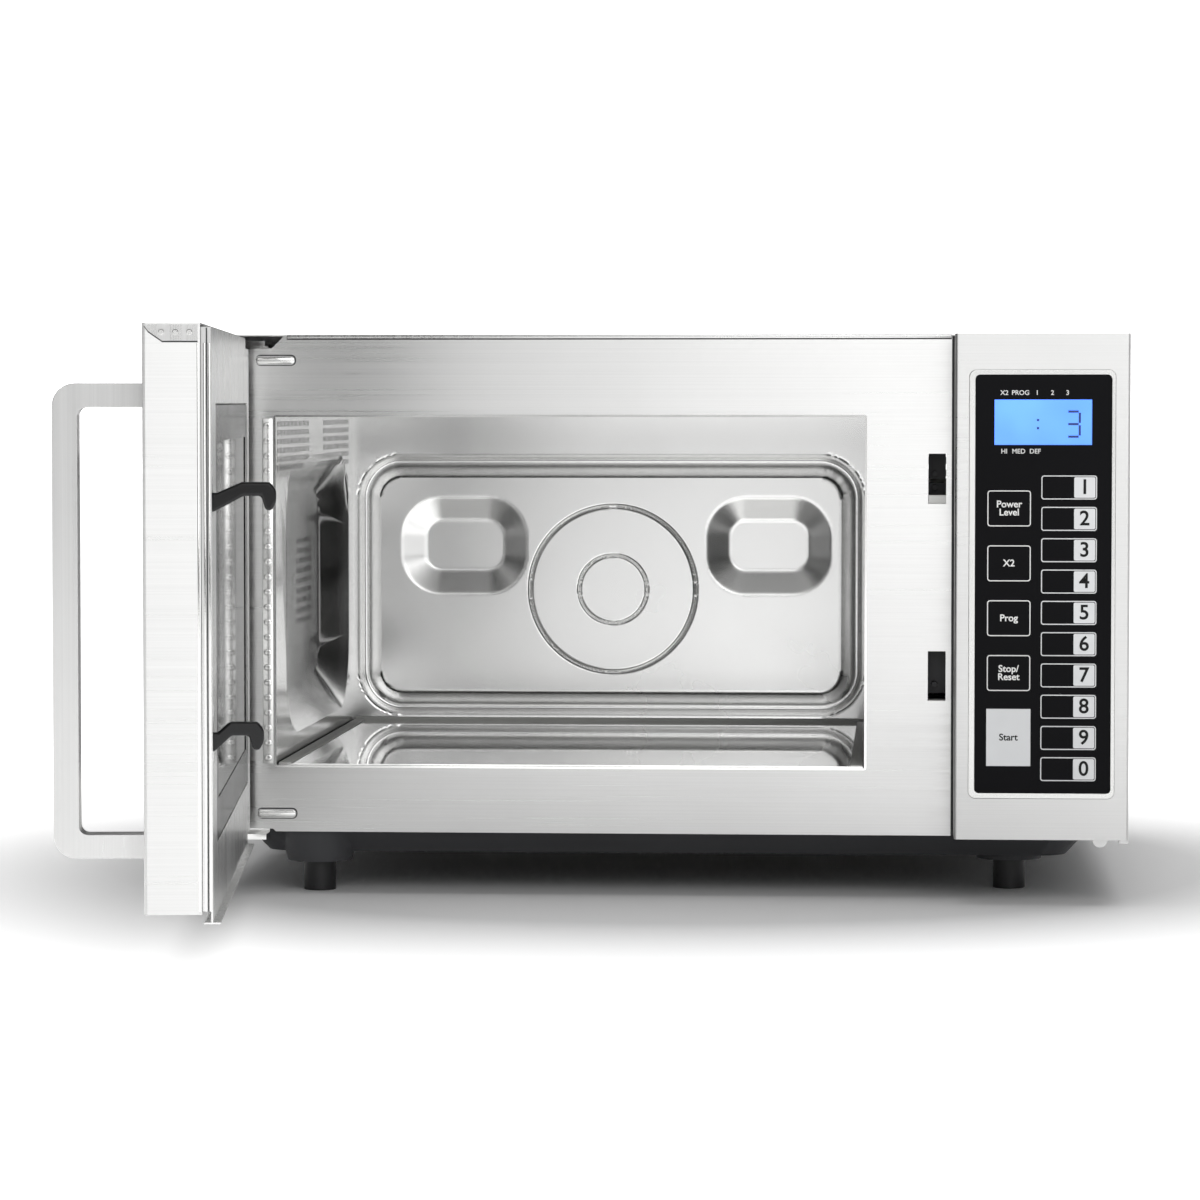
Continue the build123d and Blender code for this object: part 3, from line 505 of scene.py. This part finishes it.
def band_depth(inside, depth):
    """The groove's depth: a steep outer side and a long inner side, both ending at a crisp line."""
    t = min(max(inside / BAND_WIDTH, 0.0), 1.0)
    if t < BAND_LOWEST:
        return depth * math.sin(math.pi / 2 * t / BAND_LOWEST)
    return depth * math.cos(math.pi / 2 * (t - BAND_LOWEST) / (1.0 - BAND_LOWEST))


def pressed_depth(x, z, sizes):
    depth = band_depth(-rounded_distance(x, z, BAND_OUTER, BAND_RADIUS), sizes.groove_depth)
    for centre in LOZENGE_CENTRES:
        inside = -rounded_distance(x, z, lozenge_box(centre), LOZENGE_RADIUS)
        t = min(max(inside / LOZENGE_SLOPE, 0.0), 1.0)
        depth += sizes.lozenge_depth * min(1.0, LOZENGE_GAIN * t)
    for radius, half_width in RINGS:
        away = abs(math.hypot(x - RING_CENTRE[0], z - RING_CENTRE[1]) - radius) / half_width
        if away < 1.0:
            depth += sizes.ring_depth * 0.5 * (1.0 + math.cos(math.pi * away))
    return depth


def near_pressing(x, z, margin):
    band = -rounded_distance(x, z, BAND_OUTER, BAND_RADIUS)
    if -margin < band < BAND_WIDTH + margin:
        return True
    for centre in LOZENGE_CENTRES:
        inside = -rounded_distance(x, z, lozenge_box(centre), LOZENGE_RADIUS)
        if -margin < inside < LOZENGE_SLOPE + margin:
            return True
    return False


def near_ring(x, z, margin):
    out = math.hypot(x - RING_CENTRE[0], z - RING_CENTRE[1])
    return any(abs(out - radius) < half_width + margin for radius, half_width in RINGS)


def refine(bm, wanted):
    """Halve every face whose centre is wanted."""
    edges = set()
    for face in bm.faces:
        centre = face.calc_center_median()
        if wanted(centre.x, centre.z):
            edges.update(face.edges)
    bmesh.ops.subdivide_edges(bm, edges=list(edges), cuts=1, use_grid_fill=True)


class OVEN_OT_back_wall(bpy.types.Operator):
    """Press the cavity's back wall: the groove, two lozenges and two rings"""
    bl_idname = "oven.back_wall"
    bl_label = "Cavity back wall"

    def execute(self, context):
        sizes = context.scene.oven_sizes
        low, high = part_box("cavity_back_wall")
        bm = bmesh.new()
        upright_grid(bm, low, high, sizes.wall_cell)
        refine(bm, lambda x, z: near_pressing(x, z, PRESSING_MARGIN) or near_ring(x, z, RING_MARGIN))
        refine(bm, lambda x, z: near_ring(x, z, RING_FINE_MARGIN))
        for vert in bm.verts:
            vert.co.y += pressed_depth(vert.co.x, vert.co.z, sizes)
        # The pressed back wall takes the brightest copy of the cavity steel: painted light.
        add_piece("back_wall_pressing", bm, "cavity_back", "cabinet", ("cavity_back_wall",),
                  40.0, recalc=False)
        return {"FINISHED"}


# ---- cabinet sheets -----------------------------------------------------------------------------
class OVEN_OT_cabinet(bpy.types.Operator):
    """Finish the wrapper, front plate, left wall, base, feet, fascia and bezel"""
    bl_idname = "oven.cabinet"
    bl_label = "Cabinet sheets"

    def execute(self, context):
        edge = context.scene.oven_sizes.edge_round
        from_frame("outer_wrapper", "wrapper_sheet", "sheet_y", "cabinet", edge)
        from_frame("front_plate", "front_plate_sheet", "sheet_x", "cabinet", 0.0)
        from_frame("cavity_left_wall", "left_wall_sheet", "cavity_side", "cabinet", 0.0,
                   sharp=16.0, join=False)
        from_frame("base_plate", "base_tray", "base", "cabinet", 0.0, sharp=25.0)
        from_frame("feet", "foot_set", "rubber", "cabinet", 0.0007, 3)
        # The fascia's steel is a darker copy: painted shade.
        from_frame("control_fascia", "fascia_shell", "sheet_panel", "cabinet", 0.0004, 3)
        from_frame("panel_bezel", "bezel_trim", "bezel", "cabinet", 0.0003, 2)
        return {"FINISHED"}


class OVEN_OT_cad_finishes(bpy.types.Operator):
    """Give the frame's own nodes their finishes"""
    bl_idname = "oven.cad_finishes"
    bl_label = "Frame finishes"

    def execute(self, context):
        for node, finish in CAD_FINISH.items():
            set_finish(node, finish)
        for node in NODES:
            if node.startswith("key_"):
                set_finish(node, "key_light" if node == "key_start" else "membrane")
        return {"FINISHED"}


def set_finish(node, finish):
    slots = NODES[node].material_slots
    if not slots:
        raise RuntimeError(f"{node} has no material slot")
    for slot in slots:
        slot.material = FINISH[finish]


# ---- door ---------------------------------------------------------------------------------------
SCREEN_PITCH = 0.0042
SCREEN_HALF_BAR = 0.0007


class OVEN_OT_door(bpy.types.Operator):
    """Finish the door's skin, inner frame, choke cover and handle"""
    bl_idname = "oven.door"
    bl_label = "Door"

    def execute(self, context):
        sizes = context.scene.oven_sizes
        from_frame("door_skin", "door_outer_skin", "sheet_level", "door", sizes.edge_round)
        from_frame("choke_frame", "door_inner_frame", "door_steel", "door", sizes.edge_round)
        from_frame("choke_cover", "choke_cover_trim", "choke", "door", 0.0004)
        from_frame("door_handle", "handle_bracket", "handle", "door", sizes.handle_round, 4)
        return {"FINISHED"}


class OVEN_OT_window_screen(bpy.types.Operator):
    """Perforate the window's screen"""
    bl_idname = "oven.window_screen"
    bl_label = "Window screen"

    def execute(self, context):
        to_closed = DOOR_REST.inverted()
        corners = [to_closed @ vert.co for vert in NODES["window_screen"].data.vertices]
        low = Vector([min(corner[i] for corner in corners) for i in range(3)])
        high = Vector([max(corner[i] for corner in corners) for i in range(3)])
        bm = bmesh.new()
        upright_grid(bm, low, high, SCREEN_PITCH)
        holes = list(bm.faces)
        bmesh.ops.inset_individual(bm, faces=holes, thickness=SCREEN_HALF_BAR)
        bmesh.ops.delete(bm, geom=holes, context="FACES")
        thicken(bm, list(bm.faces), high.y - low.y)
        bmesh.ops.transform(bm, matrix=DOOR_REST, verts=bm.verts)
        add_piece("perforated_screen", bm, "screen", "door", ("window_screen",))
        return {"FINISHED"}


class OVEN_OT_latch(bpy.types.Operator):
    """Round the moulded latch link and its two hooks"""
    bl_idname = "oven.latch"
    bl_label = "Door latch"

    def execute(self, context):
        round_edge = context.scene.oven_sizes.latch_round
        from_frame("door_latch", "latch_hooks", "latch", "door_latch", round_edge, 3, 24.0)
        return {"FINISHED"}


# ---- trim round the opening and the door's free edge ---------------------------------------------
PLATE_FACE = -183.0 * MM
TRIM_SUNK = 0.1 * MM
SHADOW_PROUD = 0.06 * MM
SHADOW_THICK = 0.1 * MM

OPENING = metres((-215.0, 112.0, 71.7, 265.7))
LIP_OVERLAP = 1.0 * MM
LIP_CORNER = 1.4 * MM
LIP_WIDTH = 1.15 * MM
LIP_DEPTH = 0.5 * MM
WELD_STRIP = metres((-222.4, -216.6))
WELD_STRIP_PROUD = 0.35 * MM
WELD_STRIP_ROUND = 0.15 * MM
WELD_PITCH = 8.4 * MM
WELD_RADIUS = 1.9 * MM
WELD_SQUASH = (1.25, 0.22, 1.0)

HINGE_RIBS = metres((296.9, 44.8))
RIB_ENDS = metres((-226.0, -203.9))
RIB_HALF_TALL = 2.3 * MM
RIB_CORNER = 2.2 * MM
RIB_PROUD = 0.95 * MM
RIB_THICK = 1.2 * MM
RIB_ROUND = 0.7 * MM
RIB_SHADOW_PAST_END = 0.6 * MM
RIB_SHADOW_BELOW = 3.0 * MM
RIB_SHADOW_ABOVE = 3.2 * MM
RIB_SHADOW_CORNER = 2.8 * MM

HEM_ENDS = metres((-208.5, 159.3))
HEM_HEIGHTS = metres((308.9, 311.1))
HEM_PROUD = 0.45 * MM
HEM_BACK = 0.8 * MM
HEM_ROUND = 0.4 * MM
HEM_SHADOW_HEIGHTS = metres((308.3, 309.1))
SEAM_ENDS = metres((158.6, 161.4))
SEAM_DEPTHS = metres((1.2, 1.6))
SEAM_HEIGHTS = metres((37, 310))


class OVEN_OT_opening_trim(bpy.types.Operator):
    """Add the lip round the opening and the spot-welded strip beside it, whose bright steel is a painted
    highlight
    """
    bl_idname = "oven.opening_trim"
    bl_label = "Opening trim"

    def execute(self, context):
        x0, x1, z0, z1 = OPENING
        bm = bmesh.new()
        outline(bm, x0 - LIP_OVERLAP, x1 + LIP_OVERLAP, z0 - LIP_OVERLAP, z1 + LIP_OVERLAP,
                PLATE_FACE - LIP_DEPTH, LIP_CORNER, LIP_WIDTH, LIP_DEPTH)
        # The lip's bright steel is a painted highlight on the opening's edge.
        add_piece("opening_lip", bm, "bright", "cabinet")
        bm = bmesh.new()
        strip_face = PLATE_FACE - WELD_STRIP_PROUD
        box_into(bm, *WELD_STRIP, strip_face, PLATE_FACE + TRIM_SUNK, z0 + MM, z1 - MM)
        soften(bm, list(bm.edges), WELD_STRIP_ROUND)
        middle = (WELD_STRIP[0] + WELD_STRIP[1]) / 2
        z = z0 + WELD_PITCH / 2
        while z < z1:
            made = bmesh.ops.create_icosphere(bm, subdivisions=3, radius=WELD_RADIUS)["verts"]
            bmesh.ops.scale(bm, verts=made, vec=WELD_SQUASH)
            bmesh.ops.translate(bm, verts=made, vec=(middle, strip_face, z))
            z += WELD_PITCH
        # The strip and its welds are real shapes; their bright steel is a painted highlight.
        add_piece("spot_weld_strip", bm, "bright", "cabinet")
        return {"FINISHED"}


class OVEN_OT_hinge_ribs(bpy.types.Operator):
    """Add the two rounded ribs beside the hinges, in the bright steel as a painted highlight, and a black
    line round each as a painted shadow
    """
    bl_idname = "oven.hinge_ribs"
    bl_label = "Hinge ribs"

    def execute(self, context):
        ribs, shadows = bmesh.new(), bmesh.new()
        for z in HINGE_RIBS:
            thicken(ribs, [facing_face(ribs, *RIB_ENDS, z - RIB_HALF_TALL, z + RIB_HALF_TALL,
                                       PLATE_FACE - RIB_PROUD, RIB_CORNER)], RIB_THICK)
            thicken(shadows, [facing_face(shadows, RIB_ENDS[0], RIB_ENDS[1] + RIB_SHADOW_PAST_END,
                                          z - RIB_SHADOW_BELOW, z + RIB_SHADOW_ABOVE,
                                          PLATE_FACE - SHADOW_PROUD, RIB_SHADOW_CORNER)], SHADOW_THICK)
        front = [edge for edge in ribs.edges
                 if all(vert.co.y < PLATE_FACE - RIB_PROUD / 2 for vert in edge.verts)]
        soften(ribs, front, RIB_ROUND, 3)
        # The ribs' bright steel is a painted highlight.
        add_piece("hinge_ribs", ribs, "bright", "cabinet")
        # Black lines round the ribs: painted shadow.
        add_piece("rib_shadow_lines", shadows, "black", "cabinet")
        return {"FINISHED"}


class OVEN_OT_front_seams(bpy.types.Operator):
    """Fold the wrapper's hem over the plate's top, draw a black line under it as a painted shadow, and set
    a black strip in the seam by the panel as painted shade
    """
    bl_idname = "oven.front_seams"
    bl_label = "Front seams"

    def execute(self, context):
        bm = bmesh.new()
        box_into(bm, *HEM_ENDS, PLATE_FACE - HEM_PROUD, PLATE_FACE + HEM_BACK, *HEM_HEIGHTS)
        soften(bm, list(bm.edges), HEM_ROUND, 3)
        add_piece("wrapper_hem", bm, "door_steel", "cabinet")
        bm = bmesh.new()
        # Black line under the hem: painted shadow.
        box_into(bm, *HEM_ENDS, PLATE_FACE - SHADOW_PROUD, PLATE_FACE + TRIM_SUNK, *HEM_SHADOW_HEIGHTS)
        add_piece("hem_shadow_line", bm, "black", "cabinet")
        # Black strip behind the seam by the panel: painted shade inside the seam.
        bm = bmesh.new()
        box_into(bm, *SEAM_ENDS, PLATE_FACE + SEAM_DEPTHS[0], PLATE_FACE + SEAM_DEPTHS[1], *SEAM_HEIGHTS)
        add_piece("panel_seam_shade", bm, "black", "cabinet")
        return {"FINISHED"}


# Trim on the ceramic floor; the bead's places are from the floor's back edge.
FLOOR_STRIP_WIDTH = 7 * MM
FLOOR_STRIP_BACK_GAP = 3 * MM
FLOOR_STRIP_PROUD = 0.7 * MM
FLOOR_BEAD = metres((-2.4, 0.3))
FLOOR_BEAD_END_GAP = 0.5 * MM
FLOOR_BEAD_PROUD = 2.2 * MM
FLOOR_TRIM_SUNK = 0.2 * MM
FLOOR_TRIM_ROUND = 0.4 * MM


class OVEN_OT_floor_trim(bpy.types.Operator):
    """Lay the pale sealing strips on the ceramic floor's edges and the bead at its back"""
    bl_idname = "oven.floor_trim"
    bl_label = "Floor trim"

    def execute(self, context):
        low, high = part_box("ceramic_floor")
        under = high.z - FLOOR_TRIM_SUNK
        bm = bmesh.new()
        for near, far in ((low.x, low.x + FLOOR_STRIP_WIDTH), (high.x - FLOOR_STRIP_WIDTH, high.x)):
            box_into(bm, near, far, low.y + MM, high.y - FLOOR_STRIP_BACK_GAP, under,
                     high.z + FLOOR_STRIP_PROUD)
        box_into(bm, low.x + FLOOR_BEAD_END_GAP, high.x - FLOOR_BEAD_END_GAP, high.y + FLOOR_BEAD[0],
                 high.y + FLOOR_BEAD[1], under, high.z + FLOOR_BEAD_PROUD)
        soften(bm, list(bm.edges), FLOOR_TRIM_ROUND, 3)
        add_piece("floor_sealing_strips", bm, "silicone", "cabinet")
        return {"FINISHED"}


# The door's free edge, with the door closed: places on X from its end, on Y and on Z.
DOOR_END = 158.5 * MM
DOOR_EDGE_FOOT = 37 * MM
FLANGE_OUTLINE_MM = ((-215.2, 309.6), (-213.0, 306.5), (-206.5, 302.0), (-190.2, 302.0), (-190.2, 309.6))
# Name, finish, slot, drop below the outline and height above the edge, both in millimetres.
FLANGE_LAYERS = (("corner_shadow_gap", "black", "choke_plastic", 0.7, 0.12),
                 ("corner_flange", "door_steel", "door_steel", 0.0, 0.3))
FLANGE_SCREWS = metres((-207.0, -200.5, -194.0))
FLANGE_SCREW_HEIGHT = 306.0 * MM
FLANGE_SCREW_PROUD = 0.45 * MM
FLANGE_SCREW_RADII = metres((1.5, 1.1))
FLANGE_SCREW_DEPTH = 0.5 * MM
LIPS_MM = (-190.6, -187.6, -185.4)
LIP_THICK_MM = 0.9
LIP_REACH = metres((-0.6, 0.35))
LIP_TOP = 301 * MM
LIP_ROUND = 0.2 * MM
GAPS_MM = (-189.4, -186.4)
GAP_THICK_MM = 0.6
GAP_REACH = metres((-0.75, -0.3))
GAP_TOP = 308 * MM


class OVEN_OT_door_edge(bpy.types.Operator):
    """Add the corner flange with a black layer under it as a painted shadow, its screws, the thin folded
    lips in the bright steel as a painted highlight, and black bars between the lips as painted shade, on
    the door's free edge
    """
    bl_idname = "oven.door_edge"
    bl_label = "Door edge"

    def execute(self, context):
        for name, finish, slot, drop, proud in FLANGE_LAYERS:
            bm = bmesh.new()
            face = bm.faces.new([bm.verts.new((DOOR_END, y * MM, (z - drop) * MM))
                                 for y, z in FLANGE_OUTLINE_MM])
            made = bmesh.ops.extrude_face_region(bm, geom=[face])["geom"]
            bmesh.ops.translate(bm, verts=[item for item in made if isinstance(item, bmesh.types.BMVert)],
                                vec=(proud * MM, 0.0, 0.0))
            self.place(name, bm, finish, slot)
        bm = bmesh.new()
        for y in FLANGE_SCREWS:
            made = bmesh.ops.create_cone(bm, cap_ends=True, segments=24, radius1=FLANGE_SCREW_RADII[0],
                                         radius2=FLANGE_SCREW_RADII[1], depth=FLANGE_SCREW_DEPTH)["verts"]
            bmesh.ops.rotate(bm, verts=made, matrix=Matrix.Rotation(math.radians(90), 3, "Y"))
            bmesh.ops.translate(bm, verts=made, vec=(DOOR_END + FLANGE_SCREW_PROUD, y, FLANGE_SCREW_HEIGHT))
        self.place("corner_screws", bm, "bright", "bright_steel")
        bm = bmesh.new()
        self.add_bars(bm, LIPS_MM, LIP_THICK_MM, LIP_REACH, LIP_TOP)
        soften(bm, list(bm.edges), LIP_ROUND)
        # The lips' bright steel is a painted highlight.
        self.place("edge_lips", bm, "bright", "bright_steel")
        bm = bmesh.new()
        self.add_bars(bm, GAPS_MM, GAP_THICK_MM, GAP_REACH, GAP_TOP)
        # Black bars set back between the lips: painted shade in the gaps.
        self.place("edge_gap_shade", bm, "black", "choke_plastic")
        return {"FINISHED"}

    def add_bars(self, bm, starts_mm, thick_mm, reach, top):
        for y in starts_mm:
            box_into(bm, DOOR_END + reach[0], DOOR_END + reach[1], y * MM, (y + thick_mm) * MM,
                     DOOR_EDGE_FOOT, top)

    def place(self, name, bm, finish, slot):
        bmesh.ops.transform(bm, matrix=DOOR_REST, verts=bm.verts)
        add_piece(name, bm, finish, "door")


# ---- control panel ------------------------------------------------------------------------------
KEY_WORDS = {"key_power_level": "Power\nLevel", "key_x2": "X2", "key_prog": "Prog",
             "key_stop_reset": "Stop/\nReset", "key_start": "Start"}


DIGIT_KEYS = (1, 2, 3, 4, 5, 6, 7, 8, 9, 0)
OUTLINE_INSET = 0.0002
WORD_KEY_CORNER = 0.0016
DIGIT_KEY_CORNER = 0.0014
SQUARE_WIDTH = 0.0125
SQUARE_INSET = 0.0011
SQUARE_CORNER = 0.0008
WORD_BOLD = 0.00010
DIGIT_BOLD = 0.00018
LEGEND_BOLD = 0.00004
PRINT_STEP = 0.00004


class OVEN_OT_keypad(bpy.types.Operator):
    """Print the key outlines, words, digit squares and digits"""
    bl_idname = "oven.keypad"
    bl_label = "Keypad print"

    def execute(self, context):
        sizes = context.scene.oven_sizes
        ink = sizes.print_thickness
        for node, words in KEY_WORDS.items():
            low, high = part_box(node)
            face = low.y - ink
            if node != "key_start":
                bm = bmesh.new()
                self.add_outline(bm, low, high, face, WORD_KEY_CORNER, sizes)
                add_piece(node + "_outline", bm, "print", node)
            finish = "print_dark" if node == "key_start" else "print"
            lettering(node + "_word", words, (low.x + high.x) / 2, (low.z + high.z) / 2, sizes.word_height,
                      face, finish, node, WORD_BOLD)
        for digit in DIGIT_KEYS:
            node = f"key_{digit}"
            low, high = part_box(node)
            face = low.y - ink
            bm = bmesh.new()
            self.add_outline(bm, low, high, face, DIGIT_KEY_CORNER, sizes)
            square_left = high.x - SQUARE_WIDTH
            square_right = high.x - SQUARE_INSET
            thicken(bm, [facing_face(bm, square_left, square_right, low.z + SQUARE_INSET,
                                     high.z - SQUARE_INSET, face, SQUARE_CORNER)], ink)
            add_piece(node + "_print", bm, "key_light", node)
            lettering(node + "_digit", str(digit), (square_left + square_right) / 2, (low.z + high.z) / 2,
                      sizes.digit_height, face - PRINT_STEP, "print_dark", node, DIGIT_BOLD)
        return {"FINISHED"}

    def add_outline(self, bm, low, high, face, corner, sizes):
        outline(bm, low.x + OUTLINE_INSET, high.x - OUTLINE_INSET, low.z + OUTLINE_INSET,
                high.z - OUTLINE_INSET, face, corner, sizes.outline_width, sizes.print_thickness)


# Bars of the lit digit, as steps across and up from its middle and whether the bar lies flat.
DIGIT_BARS = ((0.0, 1.0, True), (0.0, 0.0, True), (0.0, -1.0, True), (0.5, 0.5, False), (0.5, -0.5, False))
DIGIT_MIDDLE_X = 0.2248
DIGIT_DROP = 0.0010
BAR_HALF_LENGTH = 0.0034
BAR_HALF_WIDTH = 0.0006
BAR_PROUD = 0.00005
BAR_THICK = 0.00004
COLON_ENDS = (0.2051, 0.2063)
COLON_STEP = 0.0022
# Legends above and below the window, with their places on X and Z.
LEGENDS = (("top", 0.2788, (("X2", 0.1875), ("PROG", 0.1962), ("1", 0.2052), ("2", 0.2134), ("3", 0.2216))),
           ("low", 0.2471, (("HI", 0.1875), ("MED", 0.1953), ("DEF", 0.2042))))


class OVEN_OT_display(bpy.types.Operator):
    """Light the display, with a colon and one digit, and print its legends"""
    bl_idname = "oven.display"
    bl_label = "Display"

    def execute(self, context):
        sizes = context.scene.oven_sizes
        low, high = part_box("display_module")
        face = low.y - BAR_PROUD
        middle_z = (low.z + high.z) / 2 - DIGIT_DROP
        bm = bmesh.new()
        for z in (middle_z - COLON_STEP, middle_z + COLON_STEP):
            thicken(bm, [facing_face(bm, *COLON_ENDS, z - BAR_HALF_WIDTH, z + BAR_HALF_WIDTH, face)],
                    BAR_THICK)
        half_end = BAR_HALF_LENGTH - BAR_HALF_WIDTH
        for across, up, flat in DIGIT_BARS:
            x = DIGIT_MIDDLE_X + across * 2 * BAR_HALF_LENGTH
            z = middle_z + up * 2 * BAR_HALF_LENGTH
            half_x, half_z = (half_end, BAR_HALF_WIDTH) if flat else (BAR_HALF_WIDTH, half_end)
            thicken(bm, [facing_face(bm, x - half_x, x + half_x, z - half_z, z + half_z, face)], BAR_THICK)
        add_piece("display_digits", bm, "segments", "cabinet")
        ink_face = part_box("keypad_overlay")[0].y - sizes.print_thickness
        for row, z, legends in LEGENDS:
            for words, x in legends:
                lettering(f"legend_{words}_{row}", words, x, z, sizes.legend_height, ink_face, "print",
                          "cabinet", LEGEND_BOLD)
        return {"FINISHED"}


# ---- studio -------------------------------------------------------------------------------------
CAMERA_PLACE = (0.13495, -2.6395, 0.2729)
CAMERA_YAW_DEG = 3.942
CAMERA_PITCH_DEG = -2.523
CAMERA_LENS_MM = 133.6
CAMERA_SENSOR_MM = 36.0

# Name, place, target, size, power and whether it shows in reflections.
SOFTBOXES = (
    ("softbox_front", (0.8, -3.3, 1.5), (0.0, 0.0, 0.15), 2.3, 33.0, True),
    ("softbox_right", (2.2, -1.6, 1.3), (0.1, -0.1, 0.15), 1.6, 5.0, False),
    ("softbox_top", (0.1, 0.2, 2.4), (0.0, 0.0, 0.2), 2.2, 22.0, False),
    ("softbox_sheen", (0.1, 0.9, 2.6), (0.0, 0.0, 0.2), 3.0, 14.0, True),
)
WORLD_LEVEL = 0.20
# Distances from the oven between which the floor's own glow grows to full.
FLOOR_FADE = (0.31, 0.66)
FLOOR_SIZE = (30.0, 30.0)
BACKDROP_SIZE = (16.0, 9.0)
BACKDROP_PLACE = (0.0, 14.0, 4.0)


def studio_floor_material():
    """White floor that fades to an even white away from the oven."""
    material, tree, shader = new_material("studio_floor")
    shader.inputs["Base Color"].default_value = (0.90, 0.90, 0.90, 1.0)
    shader.inputs["Roughness"].default_value = 0.7
    shader.inputs["Emission Color"].default_value = (1.0, 1.0, 1.0, 1.0)
    place = tree.nodes.new("ShaderNodeTexCoord")
    size = tree.nodes.new("ShaderNodeVectorMath")
    size.operation = "LENGTH"
    tree.links.new(place.outputs["Object"], size.inputs[0])
    tree.links.new(ranged(tree, size.outputs["Value"], 0.0, 1.0, *FLOOR_FADE),
                   shader.inputs["Emission Strength"])
    return material


def flat_sheet(name, size, material):
    bm = bmesh.new()
    bmesh.ops.create_grid(bm, x_segments=1, y_segments=1, size=0.5)
    bmesh.ops.scale(bm, verts=bm.verts, vec=(*size, 1.0))
    mesh = bpy.data.meshes.new(name)
    bm.to_mesh(mesh)
    bm.free()
    mesh.materials.append(material)
    sheet = bpy.data.objects.new(name, mesh)
    bpy.context.scene.collection.objects.link(sheet)
    return sheet


class OVEN_OT_stage(bpy.types.Operator):
    """Lay the pale floor, hang the soft lights and stand the camera"""
    bl_idname = "oven.stage"
    bl_label = "Studio"

    def execute(self, context):
        scene = context.scene
        flat_sheet("studio_floor", FLOOR_SIZE, studio_floor_material())
        backdrop = flat_sheet("studio_backdrop", BACKDROP_SIZE, FINISH["backdrop"])
        backdrop.rotation_euler = (math.radians(90), 0.0, 0.0)
        backdrop.location = BACKDROP_PLACE
        backdrop.visible_glossy = False
        for name, place, target, size, power, mirrored in SOFTBOXES:
            light = bpy.data.lights.new(name, "AREA")
            light.shape = "SQUARE"
            light.size = size
            light.energy = power
            lamp = bpy.data.objects.new(name, light)
            lamp.location = place
            lamp.rotation_euler = (Vector(target) - Vector(place)).to_track_quat("-Z", "Y").to_euler()
            lamp.visible_glossy = mirrored
            scene.collection.objects.link(lamp)
        world = bpy.data.worlds.new("studio_air")
        world.use_nodes = True
        air = world.node_tree.nodes["Background"]
        air.inputs["Color"].default_value = (1.0, 1.0, 1.0, 1.0)
        air.inputs["Strength"].default_value = WORLD_LEVEL
        scene.world = world
        lens = bpy.data.cameras.new("front_camera")
        lens.lens = CAMERA_LENS_MM
        lens.sensor_width = CAMERA_SENSOR_MM
        camera = bpy.data.objects.new("front_camera", lens)
        camera.location = CAMERA_PLACE
        camera.rotation_euler = (math.radians(90.0 + CAMERA_PITCH_DEG), 0.0, math.radians(CAMERA_YAW_DEG))
        scene.collection.objects.link(camera)
        scene.camera = camera
        scene.view_settings.view_transform = "Standard"
        return {"FINISHED"}


# ---- panel and registration ---------------------------------------------------------------------
STEPS = (OVEN_OT_stage, OVEN_OT_cad_finishes, OVEN_OT_cabinet, OVEN_OT_back_wall, OVEN_OT_door,
         OVEN_OT_window_screen, OVEN_OT_latch, OVEN_OT_opening_trim, OVEN_OT_hinge_ribs,
         OVEN_OT_front_seams, OVEN_OT_floor_trim, OVEN_OT_door_edge, OVEN_OT_keypad, OVEN_OT_display)


class OVEN_PT_sidebar(bpy.types.Panel):
    """The oven's sizes, colours and building steps"""
    bl_idname = "OVEN_PT_sidebar"
    bl_label = "Oven"
    bl_space_type = "VIEW_3D"
    bl_region_type = "UI"
    bl_category = "Oven"

    def draw(self, context):
        layout = self.layout
        for group in (context.scene.oven_sizes, context.scene.oven_colours):
            box = layout.box()
            for name in group.__annotations__:
                box.prop(group, name)
        for step in STEPS:
            layout.operator(step.bl_idname, text=step.bl_label)


CLASSES = (OvenSizes, OvenColours, *STEPS, OVEN_PT_sidebar)


def register():
    for cls in CLASSES:
        bpy.utils.register_class(cls)
    bpy.types.Scene.oven_sizes = bpy.props.PointerProperty(type=OvenSizes)
    bpy.types.Scene.oven_colours = bpy.props.PointerProperty(type=OvenColours)


def unregister():
    del bpy.types.Scene.oven_colours
    del bpy.types.Scene.oven_sizes
    for cls in reversed(CLASSES):
        bpy.utils.unregister_class(cls)


def main():
    register()
    FINISH.update(build_materials(bpy.context.scene.oven_colours))
    for step in STEPS:
        area, name = step.bl_idname.split(".")
        getattr(getattr(bpy.ops, area), name)()
    bpy.context.view_layer.update()


if __name__ == "__main__":
    main()
